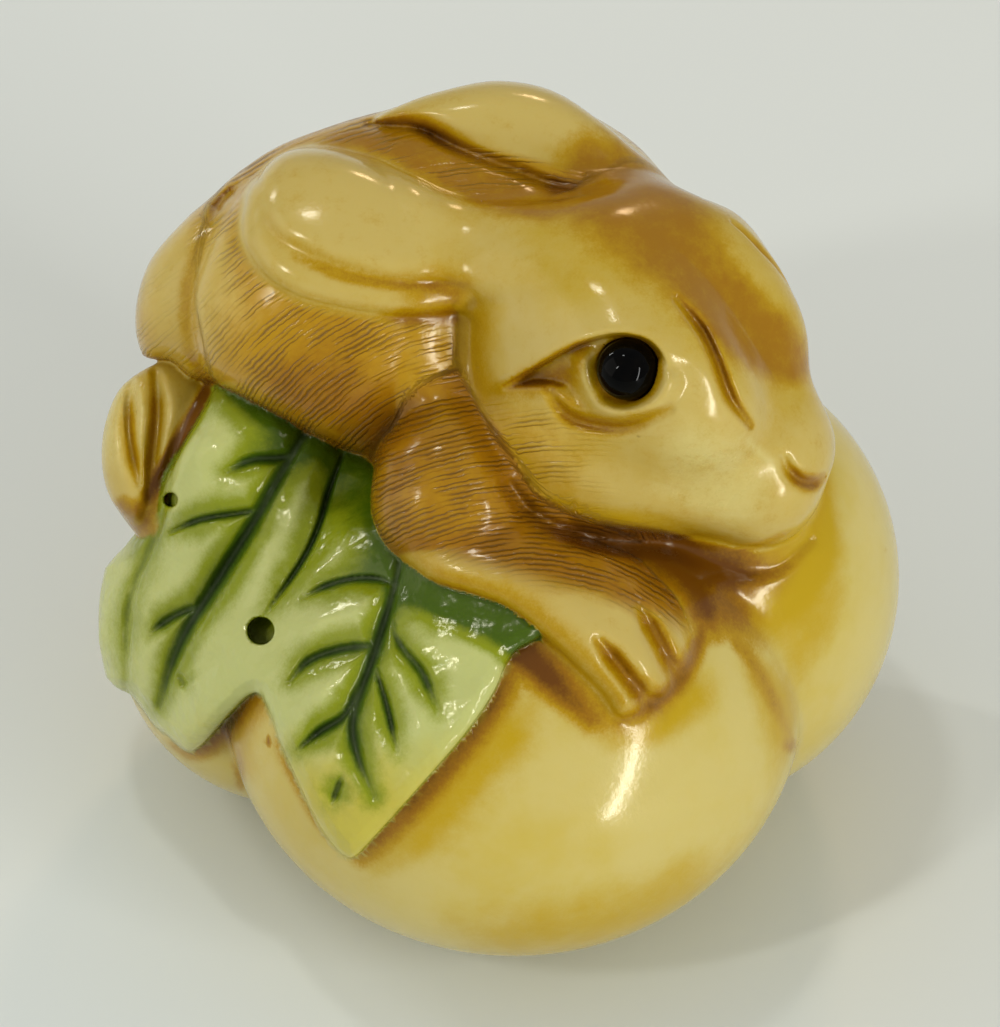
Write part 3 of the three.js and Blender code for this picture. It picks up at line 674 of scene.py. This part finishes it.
# stains rubbed into the hollows, and painted shadow under the chin, the cheek and the forearm: course, half
# width, strength
bodyStainsAndShadow = [
    ([(-1.6, 10.8), (-1.5, 9.2), (-1.3, 7.2), (-0.8, 5.1), (0.3, 1.9)], 0.9, 0.3),
    ([(-6, 10.2), (-4, 10.2), (-2.4, 10.4), (-1.4, 10.9)], 0.5, 0.8),
    ([(-5, 11.5), (-3, 11.5), (-1.4, 11.6)], 0.8, 0.5),
    ([(-10.6, 13.4), (-8, 12.4), (-5, 11.9), (-2, 12), (-1, 11.6)], 0.3, 0.6),
    ([(-13.6, 17.3), (-15, 15.4), (-15.9, 13.4), (-16.3, 11.2), (-16.1, 8.8), (-15.3, 7.2)], 0.5, 0.55),
    ([(-16.4, 9.2), (-15.6, 7.6), (-14.4, 6.6)], 0.5, 0.8),
    ([(-6.8, 20.3), (-5.2, 20.6), (-4, 20.2), (-2.8, 19.3), (-1.1, 18.5), (0.7, 17.8), (2.5, 17.1),
      (4, 16.8), (5.1, 17.1)], 0.6, 0.7),
    ([(1.8, 17.2), (3.4, 16.8), (4.6, 16.9), (5.4, 17.3)], 0.75, 1.3),
    ([(-20.6, 0.8), (-19.4, 0.2), (-18.4, 0.6)], 1.2, 1.3),
    ([(-18.7, 0.4), (-17.9, 2.1), (-17, 3.6), (-16, 5.3), (-15.2, 7)], 0.45, 2.4),
    ([(-19.3, 6.6), (-19.3, 4.5), (-18.9, 1.4)], 0.42, 1.2),
    ([(-18.2, 7.4), (-18, 5.1), (-18.5, 1.2)], 0.5, 1.3),
    ([(-15.4, 7.2), (-13.4, 6.1), (-11.6, 5.1), (-9.2, 3.7)], 0.4, 0.9),
    ([(4.9, -6.3), (6.1, -7.6), (7.5, -9.6)], 0.6, 0.75),
    ([(7, -4.6), (8.2, -6.2), (9, -8.2)], 0.48, 0.75),
    ([(10.3, -4.2), (10.5, -5.6), (9.9, -7.2), (9.1, -8.6), (7.6, -9.8), (6.2, -10.5)], 0.5, 1.1),
    # this stroke and the next: painted shadow under the chin, between the paw and the right fruit, over stain
    # in the recess
    ([(8.4, -2), (9.8, -3.2), (10.6, -4.6), (11.2, -6)], 1.0, 1.8),
    ([(8, -1.6), (10, -3), (12, -4.8), (13, -6.4)], 1.5, 1.2),
    ([(11, -5), (13, -7.4), (14.2, -9.6), (15, -11.4)], 0.45, 0.75),
    # these four: painted shadow under the cheek and the chin, on the forearm and the chest, over stain in the
    # recess
    ([(0.6, 0.2), (2.6, -1.4), (5.4, -2.1), (8, -2.6)], 1.7, 0.75),
    ([(2, -0.7), (5, -1.3), (7.4, -1.4), (8.8, -2.2), (9.8, -3.6), (10.6, -5.4)], 1.0, 1.7),
    ([(7, -1.2), (9.6, -2.3), (11.4, -2.9), (14, -3)], 1.8, 1.7),
    ([(1.6, -0.2), (4, -1.2), (7.6, -2)], 2.6, 0.8),
    # painted shadow under the forearm's lower edge
    ([(-5.5, -3.4), (-2, -5), (0.8, -6.7), (3, -8.8), (4.6, -10.4)], 0.8, 1.7),
]
fruitStains = [
    ([(1.6, -6.8), (0.2, -8.9), (-2, -12), (-4.6, -15), (-7.2, -17.8)], 0.75, 0.9),
    ([(-17.6, -12), (-15.8, -12.3), (-14, -10.6), (-12.6, -9.6)], 0.6, 0.8),
    ([(-11.6, -11.6), (-9.6, -15), (-8.4, -17)], 0.5, 0.6),
    ([(-13.6, -12.2), (-13.7, -14.8)], 0.35, 0.6),
    ([(12.5, -8), (14.4, -9.8), (15.4, -12.7)], 0.35, 0.45),
    ([(-12.05, -11.6), (-11.95, -11.6)], 0.28, 1.3),
    ([(15.0, -11.5), (15.2, -12.3)], 0.45, 0.8),
    ([(20.2, -1.6), (20.3, -1.7)], 0.3, 0.35),
]
faceStainsAndShade = [
    (browFold, 0.5, 0.6),
    ([(0.2, 6.6), (2.2, 7.1), (4.4, 7.9)], 0.8, 0.7),
    # painted shade under the upper lid's ledge
    ([(1.2, 7.3), (3.4, 8.5), (5, 9.1)], 0.32, 0.6),
    ([(2.6, 7.2), (2.9, 6.2), (3.9, 5.2), (5.4, 4.75), (6.8, 4.9), (8.8, 5.6)], 0.5, 0.6),
    ([(14.9, 2.5), (15.5, 1.9), (16.2, 1.8), (16.8, 2.1)], 0.45, 0.85),
    (mouth, 0.25, 0.3),
]
# where the fruit and the face turn honey coloured
honeySpots = [
    ([(11, -4.4), (14, -4), (16, -1), (17.4, 2)], 2.4, 0.9),
    ([(6, -11.6), (9.4, -10), (11.4, -8)], 1.3, 0.8),
    ([(12.4, -7), (14.4, -9.8), (15.4, -13)], 1.3, 0.7),
    ([(2.4, -8.4), (-1.4, -13.4), (-6.6, -18.6)], 2.2, 0.7),
    ([(-19, -11.4), (-15.8, -13.4), (-12.6, -11)], 1.6, 0.7),
    ([(0.6, 1.8), (1.6, 0.7), (4.4, 0), (8, 0.1), (10.6, -0.6), (12, -1.3)], 0.9, 0.9),
    ([(9.4, 12), (10.8, 10.2), (11.8, 8)], 1.0, 0.6),
    ([(1.4, 6), (3.4, 4.6), (6, 4), (8.6, 4.6)], 1.2, 0.6),
    ([(0, 12.6), (3.4, 12.2), (6.4, 11.8), (9, 11)], 2.6, 0.9),
    ([(0.4, 5), (3, 4), (6, 2.6), (8.4, 1.8)], 2.2, 0.8),
    ([(17, -15), (19, -8), (20, -1)], 3.6, 0.8),
    ([(-4, -22), (6, -21), (14, -17)], 2.4, 0.8),
]
bodyStainAndShadow = reliefOf(bodyStainsAndShadow, (-23, -17), (20, 23))
faceStainAndShade = reliefOf(faceStainsAndShade, (-3, -4), (20, 19))
eyeAround = np.hypot(faceStainAndShade.u - eye["near"][0], faceStainAndShade.v - eye["near"][1])
faceStainAndShade.value = np.maximum(faceStainAndShade.value, 0.7 * np.exp(-((eyeAround - eye["radius"]) / 0.3) ** 2))
fruitStain = reliefOf(fruitStains, (-20, -20), (22, 1))
napeArea = planOf([(-9, 20.6), (-6.8, 20.3), (-5, 20.6), (-4, 20.3), (-2.8, 19.4), (-1.1, 18.6), (0.7, 17.9),
                   (2.5, 17.2), (4, 17.2), (5.2, 17.1), (4.2, 16), (3.2, 15.3), (0.5, 15.4), (-1.1, 16),
                   (-2.7, 16.8), (-4.1, 17.5), (-5.8, 18.5), (-7.3, 19), (-9.6, 19.6)])
foreheadArea = planOf([(4.5, 20), (8.8, 18.8), (10.9, 16.4), (11.8, 14.2), (12.7, 12.6), (13.8, 11.3),
                       (15, 10.2), (16.4, 8), (15.4, 6.8), (13, 7.4), (11, 8.8), (8.8, 10.6),
                       (6.8, 12.2), (5.2, 13.6), (3, 15), (2, 17)])
honeySheet = reliefOf(honeySpots, (-23, -24), (23, 16))
paint = {
    "haunchFlow": (0.0, -4.3),     # fur runs in arcs round these places in the carving plane
    "elbowFlow": (1.5, -14.0),
    "cheekFlow": (4.0, -16.0),
    "flowRadius": 14,              # turns the angle round them into a length
    "reach": {"tight": 0.45, "crease": 1.2, "hollow": 2.8},    # how far each feels for a facing wall
}


# 1 on a form's own surface, fading to 0 away from it
def near(distanceTo, soft):
    return 1 - ramp(distanceTo, 0, soft)


def spot(u, v, at, wide, high):
    return np.exp(-((u - at[0]) / wide) ** 2 - ((v - at[1]) / high) ** 2)


# the share of each finish at each place, where its stains lie, and where painted light and shade lie
def coloursAt(q):
    u, v, w = q[:, 0], q[:, 1], q[:, 2]
    form = carve(q)
    made = {}
    leafShare = near(form["leaf"] - np.minimum(form["hare"], form["fruit"]), 0.12)
    rest = np.minimum(form["hare"], form["farFeet"])
    fruitShare = near(form["fruit"] - np.minimum(rest, form["leaf"]), 0.15) * (1 - leafShare)
    hareShare = (1 - leafShare) * (1 - fruitShare)
    body = np.minimum(form["trunk"], np.minimum(form["haunch"], form["elbow"]))
    lower = np.minimum(form["arm"], form["fruit"])
    head = near(form["head"] - np.minimum(body, form["lobe"]), 0.6) * near(form["head"] - lower, 0.3)
    ears = np.minimum(np.minimum(form["lobe"], form["lip"]), form["farEar"])
    ear = near(ears - body, 0.4) * (1 - head)
    root = near(form["earRoot"] - body, 1.2)
    ear = np.maximum(ear, root * (1 - ramp(v, 11.4, 10.6)))
    elbow = near(form["elbow"] - form["head"], 0.3) * near(form["elbow"] - form["haunch"], 0.5)
    arm = near(form["arm"] - np.minimum(form["elbow"], form["head"]), 0.2) * (1 - fruitShare)
    foot = near(form["foot"] - np.minimum(form["shank"], form["fruit"]), 0.2)
    farFoot = near(form["farFeet"] - form["hare"], 0.3) * (1 - fruitShare)
    faceU, faceV = form["faceU"], form["faceV"]
    cheek = ramp(faceU, 7.0, 1.0) * ramp(faceV, 6.4, 4.4)
    paw = ramp(u * 0.3 + v, -1.9, -3.6)
    fur = hareShare * (1 - ear) * (1 - foot) * (1 - farFoot) * (1 - head * (1 - cheek)) * (1 - arm * paw)
    facing = ramp(w, -1, 2)
    forehead = foreheadArea.read(u, v)
    leftSoft = ramp(1.2 * v - u, 0, 6)
    band = ramp(-forehead, -0.7 - 0.5 * leftSoft, 0.8 + 1.2 * leftSoft)
    nape = ramp(-napeArea.read(u, v), -0.5, 0.6)
    made["brown"] = np.maximum(band, nape) * hareShare * facing
    honey = np.maximum(honeySheet.read(u, v), ramp(-forehead, -4.5, 0.2) * np.maximum(head, root))
    honey = honey + 0.45 * fruitShare * ramp(u, 12, 16) + 0.35 * head * spot(u, v, (3, 3.6), 3, 1.8)
    pale = 0.85 * head * spot(u, v, (10.2, 1.8), 5, 3.6) + 0.5 * foot * ramp(v, 1, 4)
    made["honey"] = honey * facing * (1 - 0.3 * head) - pale
    above = np.minimum(np.minimum(form["haunch"], form["elbow"]), form["arm"])
    made["shade"] = ramp(above, 3.4, 0.2) ** 1.5 * leafShare * ramp(w, -4, -2)
    made["shade"] = made["shade"] * (0.3 + 0.7 * ramp(u, -15, -11))
    # painted light: the coat is made paler on the rump at (-17.4, 13) and on the shoulder at (-4, 7), which
    # face up and to the left
    deep = 0.42 + 0.62 * spot(u, v, (-9, 6.4), 4.6, 3) - 0.8 * spot(u, v, (-17.4, 13), 3, 5)
    deep = deep - 0.3 * spot(u, v, (-4, 7), 3, 3)
    deep = deep + 0.42 * np.maximum(elbow, arm) - 0.25 * head
    # painted light: the rump has less of the fur colour, so it shows paler
    fur = fur * (1 - 0.75 * spot(u, v, (-17, 12), 2.6, 5))
    made["leafShare"], made["fruitShare"], made["furShare"] = leafShare, fruitShare, fur
    made["engraved"] = fur * (0.2 + 0.8 * ramp(w, -5, 0))
    # painted shadow of the chin on the forearm
    deep = deep + 0.5 * spot(u, v, (3, -2), 5, 2.4) * arm
    made["deep"] = np.clip(deep + ramp(w, 0, -6) * 0.25, 0, 1)
    flow = [np.array([u - x, v - y]) for x, y in (paint["haunchFlow"], paint["elbowFlow"], paint["cheekFlow"])]
    shares = (1 - head) * (1 - np.maximum(elbow, arm)), (1 - head) * np.maximum(elbow, arm), head
    made["strand"] = sum(share * np.hypot(*f) for share, f in zip(shares, flow))
    made["along"] = sum(share * np.arctan2(*f) * paint["flowRadius"] for share, f in zip(shares, flow))
    shown = ramp(w, *leaf["carved"])
    made["vein"] = np.clip(veinSoft.read(u, v), 0, 1) * shown
    made["veinLine"] = form["veinInk"] * leafShare
    lines = np.maximum(bodyStainAndShadow.read(u, v) * (1 - head), faceStainAndShade.read(faceU, faceV) * head)
    lines = np.maximum(lines * ramp(w, -6, -4), fruitStain.read(u, v) * fruitShare * shown)
    made["line"] = lines - (0.45 + 0.35 * ramp(v, 0.5, 3)) * foot
    made["yellow"] = ramp(v, -7, -17) * leafShare
    return made


def paintAttributes(piece):
    count = len(piece.data.vertices)
    world = np.empty(count * 3, np.float32)
    piece.data.vertices.foreach_get("co", world)
    p = toPlane(*(world.reshape(-1, 3) / mm).T).astype(np.float32)
    normal = slope(p)
    normal /= np.linalg.norm(normal, axis=1)[:, None] + 1e-6
    parts = [coloursAt(p[i:i + chunk]) for i in range(0, count, chunk)]
    made = {name: np.concatenate([part[name] for part in parts]) for name in parts[0]}
    for name, reach in paint["reach"].items():
        made[name] = np.clip((reach - distance(p + normal * reach)) / reach, 0, 1)
    for name, values in made.items():
        attribute = piece.data.attributes.new(name, "FLOAT", "POINT")
        attribute.data.foreach_set("value", np.ascontiguousarray(values, np.float32))
    print(f"carving: painted areas {', '.join(made)}")


paintAttributes(carving)


# a node's output that can stand in a sum
class Value:
    def __init__(self, finish, socket):
        self.finish = finish
        self.socket = socket

    def sum(self, operation, first, second):
        return self.finish.value("ShaderNodeMath", {"operation": operation}, {0: first, 1: second})

    def __add__(self, other):
        return self.sum("ADD", self, other)

    def __radd__(self, other):
        return self.sum("ADD", other, self)

    def __sub__(self, other):
        return self.sum("SUBTRACT", self, other)

    def __rsub__(self, other):
        return self.sum("SUBTRACT", other, self)

    def __mul__(self, other):
        return self.sum("MULTIPLY", self, other)

    def __rmul__(self, other):
        return self.sum("MULTIPLY", other, self)

    def __truediv__(self, other):
        return self.sum("DIVIDE", self, other)

    def __rtruediv__(self, other):
        return self.sum("DIVIDE", other, self)


class Finish:
    def __init__(self, name, **constants):
        self.material = bpy.data.materials.new(name)
        self.material.use_nodes = True
        self.tree = self.material.node_tree
        self.shader = self.tree.nodes["Principled BSDF"]
        for socket, value in constants.items():
            self.shader.inputs[socket.replace("_", " ")].default_value = value
        self.place = self.node("ShaderNodeTexCoord").outputs["Object"]

    def node(self, kind, settings=None, inputs=None):
        node = self.tree.nodes.new(kind)
        for name, value in (settings or {}).items():
            setattr(node, name, value)
        for name, value in (inputs or {}).items():
            self.feed(node.inputs[name], value)
        return node

    def feed(self, socket, value):
        value = value.socket if isinstance(value, Value) else value
        if isinstance(value, bpy.types.NodeSocket):
            self.tree.links.new(value, socket)
        else:
            socket.default_value = value

    def value(self, kind, settings=None, inputs=None, output=0):
        return Value(self, self.node(kind, settings, inputs).outputs[output])

    def attribute(self, name):
        return self.value("ShaderNodeAttribute", {"attribute_name": name}, output="Fac")

    # size of a patch in millimetres, or in the units of the place given
    def noise(self, size, detail=2.0, rough=0.5, place=None):
        inputs = {"Vector": place or self.place, "Scale": 1 / (size * (mm if place is None else 1)),
                  "Detail": detail, "Roughness": rough}
        return self.value("ShaderNodeTexNoise", None, inputs, "Fac")

    # rises softly from 0 to 1 between two levels
    def step(self, value, low, high):
        settings = {"interpolation_type": "SMOOTHSTEP"}
        return self.value("ShaderNodeMapRange", settings, {"Value": value, "From Min": low, "From Max": high})

    def colour(self, share, first, second, kind="MIX"):
        node = self.node("ShaderNodeMix", {"data_type": "RGBA", "blend_type": kind})
        self.feed(node.inputs[0], share)
        for place, value in ((6, first), (7, second)):
            self.feed(node.inputs[place], value if isinstance(value, Value) else (*value, 1))
        return Value(self, node.outputs[2])

    def onto(self, socket, value):
        self.feed(self.shader.inputs[socket], value)


stain = {    # base colours, linear
    "fruitPale": (0.57, 0.46, 0.14),
    "fruitDeep": (0.54, 0.41, 0.07),
    "honey": (0.47, 0.305, 0.004),
    "pale": (0.62, 0.52, 0.18),
    "amber": (0.42, 0.245, 0.003),
    "cream": (0.53, 0.395, 0.105),
    "creamDeep": (0.49, 0.34, 0.05),
    "furLight": (0.56, 0.38, 0.07),
    "fur": (0.44, 0.235, 0.005),
    "furDeep": (0.28, 0.115, 0.001),
    "furCut": (0.085, 0.034, 0.001),
    "brown": (0.31, 0.14, 0.001),
    # brown of stain in hollows, also used for painted shade under the chin and the forearm
    "rubbedAndShade": (0.29, 0.13, 0.001),
    # darkest brown: stain at the bottom of creases, and painted shadow under the chin
    "crease": (0.13, 0.042, 0.001),
    "leafPale": (0.48, 0.50, 0.17),
    "leafYellow": (0.50, 0.43, 0.06),
    "leafGreen": (0.23, 0.265, 0.006),
    "leafDeep": (0.05, 0.095, 0.001),
    "leafInk": (0.009, 0.026, 0.001),
    "inlay": (0.0006, 0.0006, 0.0006),
    "inlayCloud": (0.002, 0.0015, 0.001),
}
grains = {    # sizes of the mottling, in millimetres
    "broad": 9,
    "patches": 3,
    "mottle": 1.2,
    "fine": 0.5,
    "dust": 0.14,
    "blade": 1.3,
    "inlay": 0.7,
}
heights = {    # fine relief, in millimetres
    "fine": 0.012,
    "strand": 0.05,
    "blade": 0.16,
}
strands = {
    "pitch": 0.27,        # millimetres between engraved strands
    "length": 2.6,
    "sway": 0.16,
    "rowShift": 7.31,     # sets the dashes of one row apart from the next
}


def carvingFinish():
    f = Finish("glossyCarving", IOR=1.4, Coat_Weight=0.05, Coat_Roughness=0.05, Subsurface_Weight=0.12,
               Specular_Tint=(1.0, 0.93, 0.75, 1),
               Subsurface_Radius=(1.0, 0.6, 0.2), Subsurface_Scale=1.2 * mm)
    leafShare, fruitShare, fur, engraved = (
        f.attribute(name) for name in ("leafShare", "fruitShare", "furShare", "engraved"))
    brown, honey, shade, deep = (f.attribute(name) for name in ("brown", "honey", "shade", "deep"))
    vein, veinLine, line, yellow = (f.attribute(name) for name in ("vein", "veinLine", "line", "yellow"))
    tight, crease, hollow = (f.attribute(name) for name in ("tight", "crease", "hollow"))
    broad = f.noise(grains["broad"])
    patches = f.noise(grains["patches"], 3, 0.6)
    mottle = f.noise(grains["mottle"], 3, 0.7)
    fine = f.noise(grains["fine"], 3, 0.65)
    speckle = (fine - 0.5) * 0.45 + (f.noise(grains["dust"], 2, 0.6) - 0.5) * 0.45

    # fruit: pale cream, honey coloured in patches and towards the hollows
    fruitTone = f.step(broad * 0.6 + patches * 0.4, 0.4, 0.72)
    fruitColour = f.colour(fruitTone, stain["fruitPale"], stain["fruitDeep"])
    warm = honey + hollow * 0.9 + (patches - 0.5) * 0.5 + speckle * 0.4
    fruitColour = f.colour(f.step(warm, 0.15, 1.0), fruitColour, stain["honey"])

    # hare: cream face, ears and feet, and a brown coat of engraved strands
    drift = (patches - 0.5) * strands["sway"] * 3 + (fine - 0.5) * strands["sway"]
    rows = (f.attribute("strand") + drift) / strands["pitch"]
    row = f.value("ShaderNodeMath", {"operation": "FLOOR"}, {0: rows})
    ridge = f.value("ShaderNodeMath", {"operation": "PINGPONG"}, {0: rows, 1: 0.5}) * 2
    course = {"X": f.attribute("along") / strands["length"], "Y": row * strands["rowShift"]}
    dash = f.noise(1, 1, place=f.node("ShaderNodeCombineXYZ", None, course).outputs[0])
    dash = dash + deep * 0.1 + (patches - 0.5) * 0.4
    cut = (1 - f.step(ridge, 0, 0.75)) * f.step(dash, 0.45, 0.66) * engraved
    coatTone = deep + (patches - 0.5) * 0.5 + (fine - 0.5) * 0.3 + hollow * 0.5
    coat = f.colour(f.step(coatTone, 0.05, 0.5), stain["furLight"], stain["fur"])
    coat = f.colour(f.step(coatTone, 0.5, 1.1), coat, stain["furDeep"])
    coat = f.colour(cut * 0.75, coat, stain["furCut"])
    creamTone = f.step(patches * 0.6 + hollow + fine * 0.2, 0.35, 0.95)
    cream = f.colour(creamTone, stain["cream"], stain["creamDeep"])
    cream = f.colour(f.step(warm, 0.1, 1.2), cream, stain["honey"])
    cream = f.colour(f.step(warm, -0.1, -0.8), cream, stain["pale"])
    hareColour = f.colour(fur, cream, coat)
    brownTone = brown + (patches - 0.5) * 0.4 + (mottle - 0.5) * 0.8 + speckle * 0.7
    hareColour = f.colour(f.step(brownTone, 0, 0.6), hareColour, stain["amber"], "DARKEN")
    hareColour = f.colour(f.step(brownTone, 0.35, 1.1), hareColour, stain["brown"], "DARKEN")

    # brown rubbed into creases, dark at the bottom of them; the same browns paint the shadow under the chin
    # and the forearm
    rubbedAndShade = hollow * 0.45 + crease * 0.4 + tight * 0.25 + line
    body = f.colour(fruitShare, hareColour, fruitColour)
    grained = speckle * f.step(rubbedAndShade, 0.1, 0.5)
    depth = rubbedAndShade + grained * 1.2
    body = f.colour(f.step(rubbedAndShade + grained * 0.8, 0.1, 0.6), body, stain["amber"], "DARKEN")
    body = f.colour(f.step(depth, 0.45, 1.15), body, stain["rubbedAndShade"], "DARKEN")
    body = f.colour(f.step(depth, 0.95, 1.9), body, stain["crease"])

    # leaf: green gathered along the veins and in the hollows between them
    cloud = (patches - 0.5) * 0.5 + speckle * 0.5
    green = vein * 1.05 + hollow * 0.6 + shade * 1.1 + line * 0.7 + cloud
    autumn = yellow + (patches - 0.5) * 0.6
    blade = f.colour(f.step(autumn, 0.2, 0.9), stain["leafPale"], stain["leafYellow"])
    blade = f.colour(f.step(green, 0.15, 0.75), blade, stain["leafGreen"])
    dark = vein + shade * 1.2 + veinLine * 0.5 + crease * 0.4 + line * 0.5 + cloud * 1.2
    blade = f.colour(f.step(dark, 0.6, 1.5), blade, stain["leafDeep"])
    inked = veinLine + tight * 0.4 + shade * 0.4 + cloud * 0.8
    blade = f.colour(f.step(inked, 0.4, 1.3), blade, stain["leafInk"])

    f.onto("Base Color", f.colour(leafShare, body, blade))
    smooth = 0.12 + fine * 0.08 + cut * 0.2 + crease * 0.12 + veinLine * 0.4
    f.onto("Roughness", smooth + f.step(honey, -0.05, -0.7) * 0.1)
    height = fine * heights["fine"] - cut * heights["strand"]
    height = height + f.noise(grains["blade"]) * leafShare * heights["blade"]
    bump = f.node("ShaderNodeBump", None, {"Strength": 1.0, "Distance": mm, "Height": height})
    f.onto("Normal", bump.outputs["Normal"])
    return f.material


carving.data.materials.clear()
carving.data.materials.append(carvingFinish())
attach(carving, "root")
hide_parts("carving")


stud = {
    "rings": 40,
    "turns": 64,
    "shrink": 0.02,       # millimetres inside the socketed sphere
}


def eyeFinish():
    f = Finish("blackInlay", IOR=1.15)
    cloud = f.noise(grains["inlay"])
    f.onto("Base Color", f.colour(f.step(cloud, 0.3, 0.8), stain["inlay"], stain["inlayCloud"]))
    f.onto("Roughness", 0.03 + cloud * 0.03)
    return f.material


def eyeStud(name, centre, outward):
    radius = eye["radius"] - stud["shrink"]
    side = axesOf(outward, (0.1, 0.2, 1))
    points = [np.array(centre) + side[0] * radius]
    for i in range(1, stud["rings"]):
        angle = math.pi * i / stud["rings"]
        for j in range(stud["turns"]):
            turn = 2 * math.pi * j / stud["turns"]
            across = side[1] * math.cos(turn) + side[2] * math.sin(turn)
            ray = side[0] * math.cos(angle) + across * math.sin(angle)
            points.append(np.array(centre) + radius * ray)
    points.append(np.array(centre) - side[0] * radius)
    mesh = bpy.data.meshes.new(name)
    faces = []
    turns = stud["turns"]
    last = len(points) - 1
    for j in range(turns):
        k = (j + 1) % turns
        faces.append((0, 1 + j, 1 + k))
        for i in range(stud["rings"] - 2):
            a, b = 1 + i * turns, 1 + (i + 1) * turns
            faces.append((a + j, b + j, b + k, a + k))
        faces.append((last, last - turns + k, last - turns + j))
    mesh.from_pydata([tuple(point * mm) for point in points], [], faces)
    mesh.shade_smooth()
    piece = bpy.data.objects.new(name, mesh)
    bpy.context.scene.collection.objects.link(piece)
    return piece


blackInlay = eyeFinish()
for name, node, centre, planeCentre in (
    ("eyeRight", "eye_right", worldEyes[0], np.array(eye["near"])),
    ("eyeLeft", "eye_left", worldEyes[1], farEye),
):
    piece = eyeStud(name, centre, centre - toWorld(np.array([hare["headAt"]]))[0])
    piece.data.materials.append(blackInlay)
    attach(piece, "root")
    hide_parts(node)
print("eyes set")

floor = {
    "size": 3.0,
    "colour": (0.72, 0.75, 0.71),
    "cloud": 60,          # size of its faint clouds, in millimetres
    "shade": 0.93,        # how dark they get
}


def floorFinish():
    f = Finish("paleTable", Roughness=0.55, IOR=1.45)
    darker = tuple(floor["shade"] * share for share in floor["colour"])
    f.onto("Base Color", f.colour(f.noise(floor["cloud"]), floor["colour"], darker))
    return f.material


half = floor["size"] / 2
floorMesh = bpy.data.meshes.new("table")
corners = [(-half, -half, 0), (half, -half, 0), (half, half, 0), (-half, half, 0)]
floorMesh.from_pydata(corners, [], [(0, 1, 2, 3)])
table = bpy.data.objects.new("table", floorMesh)
bpy.context.scene.collection.objects.link(table)
table.data.materials.append(floorFinish())

view = {
    "aim": (0.0, 0.000127, 0.02013),
    "distance": 0.6,
    "elevation": math.radians(45),
    "mmAcross": 52.2,        # width of the picture at the aim, in millimetres
    "sensor": 36.0,
}
lights = {    # direction it comes from, distance, width, height, roll, watts, colour
    "window": ((0.68, -0.68, 0.28), 0.6, 0.035, 0.5, -35, 2.2, (1.0, 1.0, 0.98)),
    "second": ((-0.59, -0.48, 0.65), 0.6, 0.03, 0.1, -10, 0.5, (1.0, 1.0, 0.97)),
    "above": ((-0.2, 0.15, 0.97), 0.8, 0.05, 0.08, 30, 0.6, (0.98, 1.0, 1.0)),
    "backLeft": ((-0.7, 0.5, 0.48), 0.6, 0.03, 0.14, 20, 0.45, (1.0, 1.0, 0.98)),
    "left": ((-1.0, -0.2, 0.4), 1.0, 0.9, 0.9, 0, 2.3, (1.0, 0.96, 0.86)),
    "behind": ((0.25, 0.9, 0.55), 0.6, 0.08, 0.08, 0, 0.4, (1.0, 0.72, 0.45)),
}


def addLight(name, direction, distance, width, height, roll, watts, colour):
    data = bpy.data.lights.new(name, "AREA")
    data.shape = "RECTANGLE"
    data.size, data.size_y = width, height
    data.energy = watts
    data.color = colour
    lamp = bpy.data.objects.new(name, data)
    way = Vector(direction).normalized()
    lamp.location = Vector(view["aim"]) + way * distance
    turn = way.to_track_quat("Z", "Y") @ Quaternion((0, 0, 1), math.radians(roll))
    lamp.rotation_euler = turn.to_euler()
    bpy.context.scene.collection.objects.link(lamp)


for name, settings in lights.items():
    addLight(name, *settings)
room = {
    "colour": (0.95, 0.98, 1.0, 1),
    "strength": 0.44,
}
world = bpy.data.worlds.new("softRoom")
world.use_nodes = True
world.node_tree.nodes["Background"].inputs["Color"].default_value = room["colour"]
world.node_tree.nodes["Background"].inputs["Strength"].default_value = room["strength"]
bpy.context.scene.world = world

camera = bpy.data.cameras.new("camera")
camera.sensor_fit = "HORIZONTAL"
camera.sensor_width = view["sensor"]
camera.lens = view["sensor"] * view["distance"] / (view["mmAcross"] * mm)
camera.clip_start = 0.01
viewer = bpy.data.objects.new("camera", camera)
back = Vector((0, -math.cos(view["elevation"]), math.sin(view["elevation"])))
viewer.location = Vector(view["aim"]) + back * view["distance"]
viewer.rotation_euler = back.to_track_quat("Z", "Y").to_euler()
bpy.context.scene.collection.objects.link(viewer)
bpy.context.scene.camera = viewer
bpy.context.scene.view_settings.view_transform = "Standard"
print("lights and camera set")
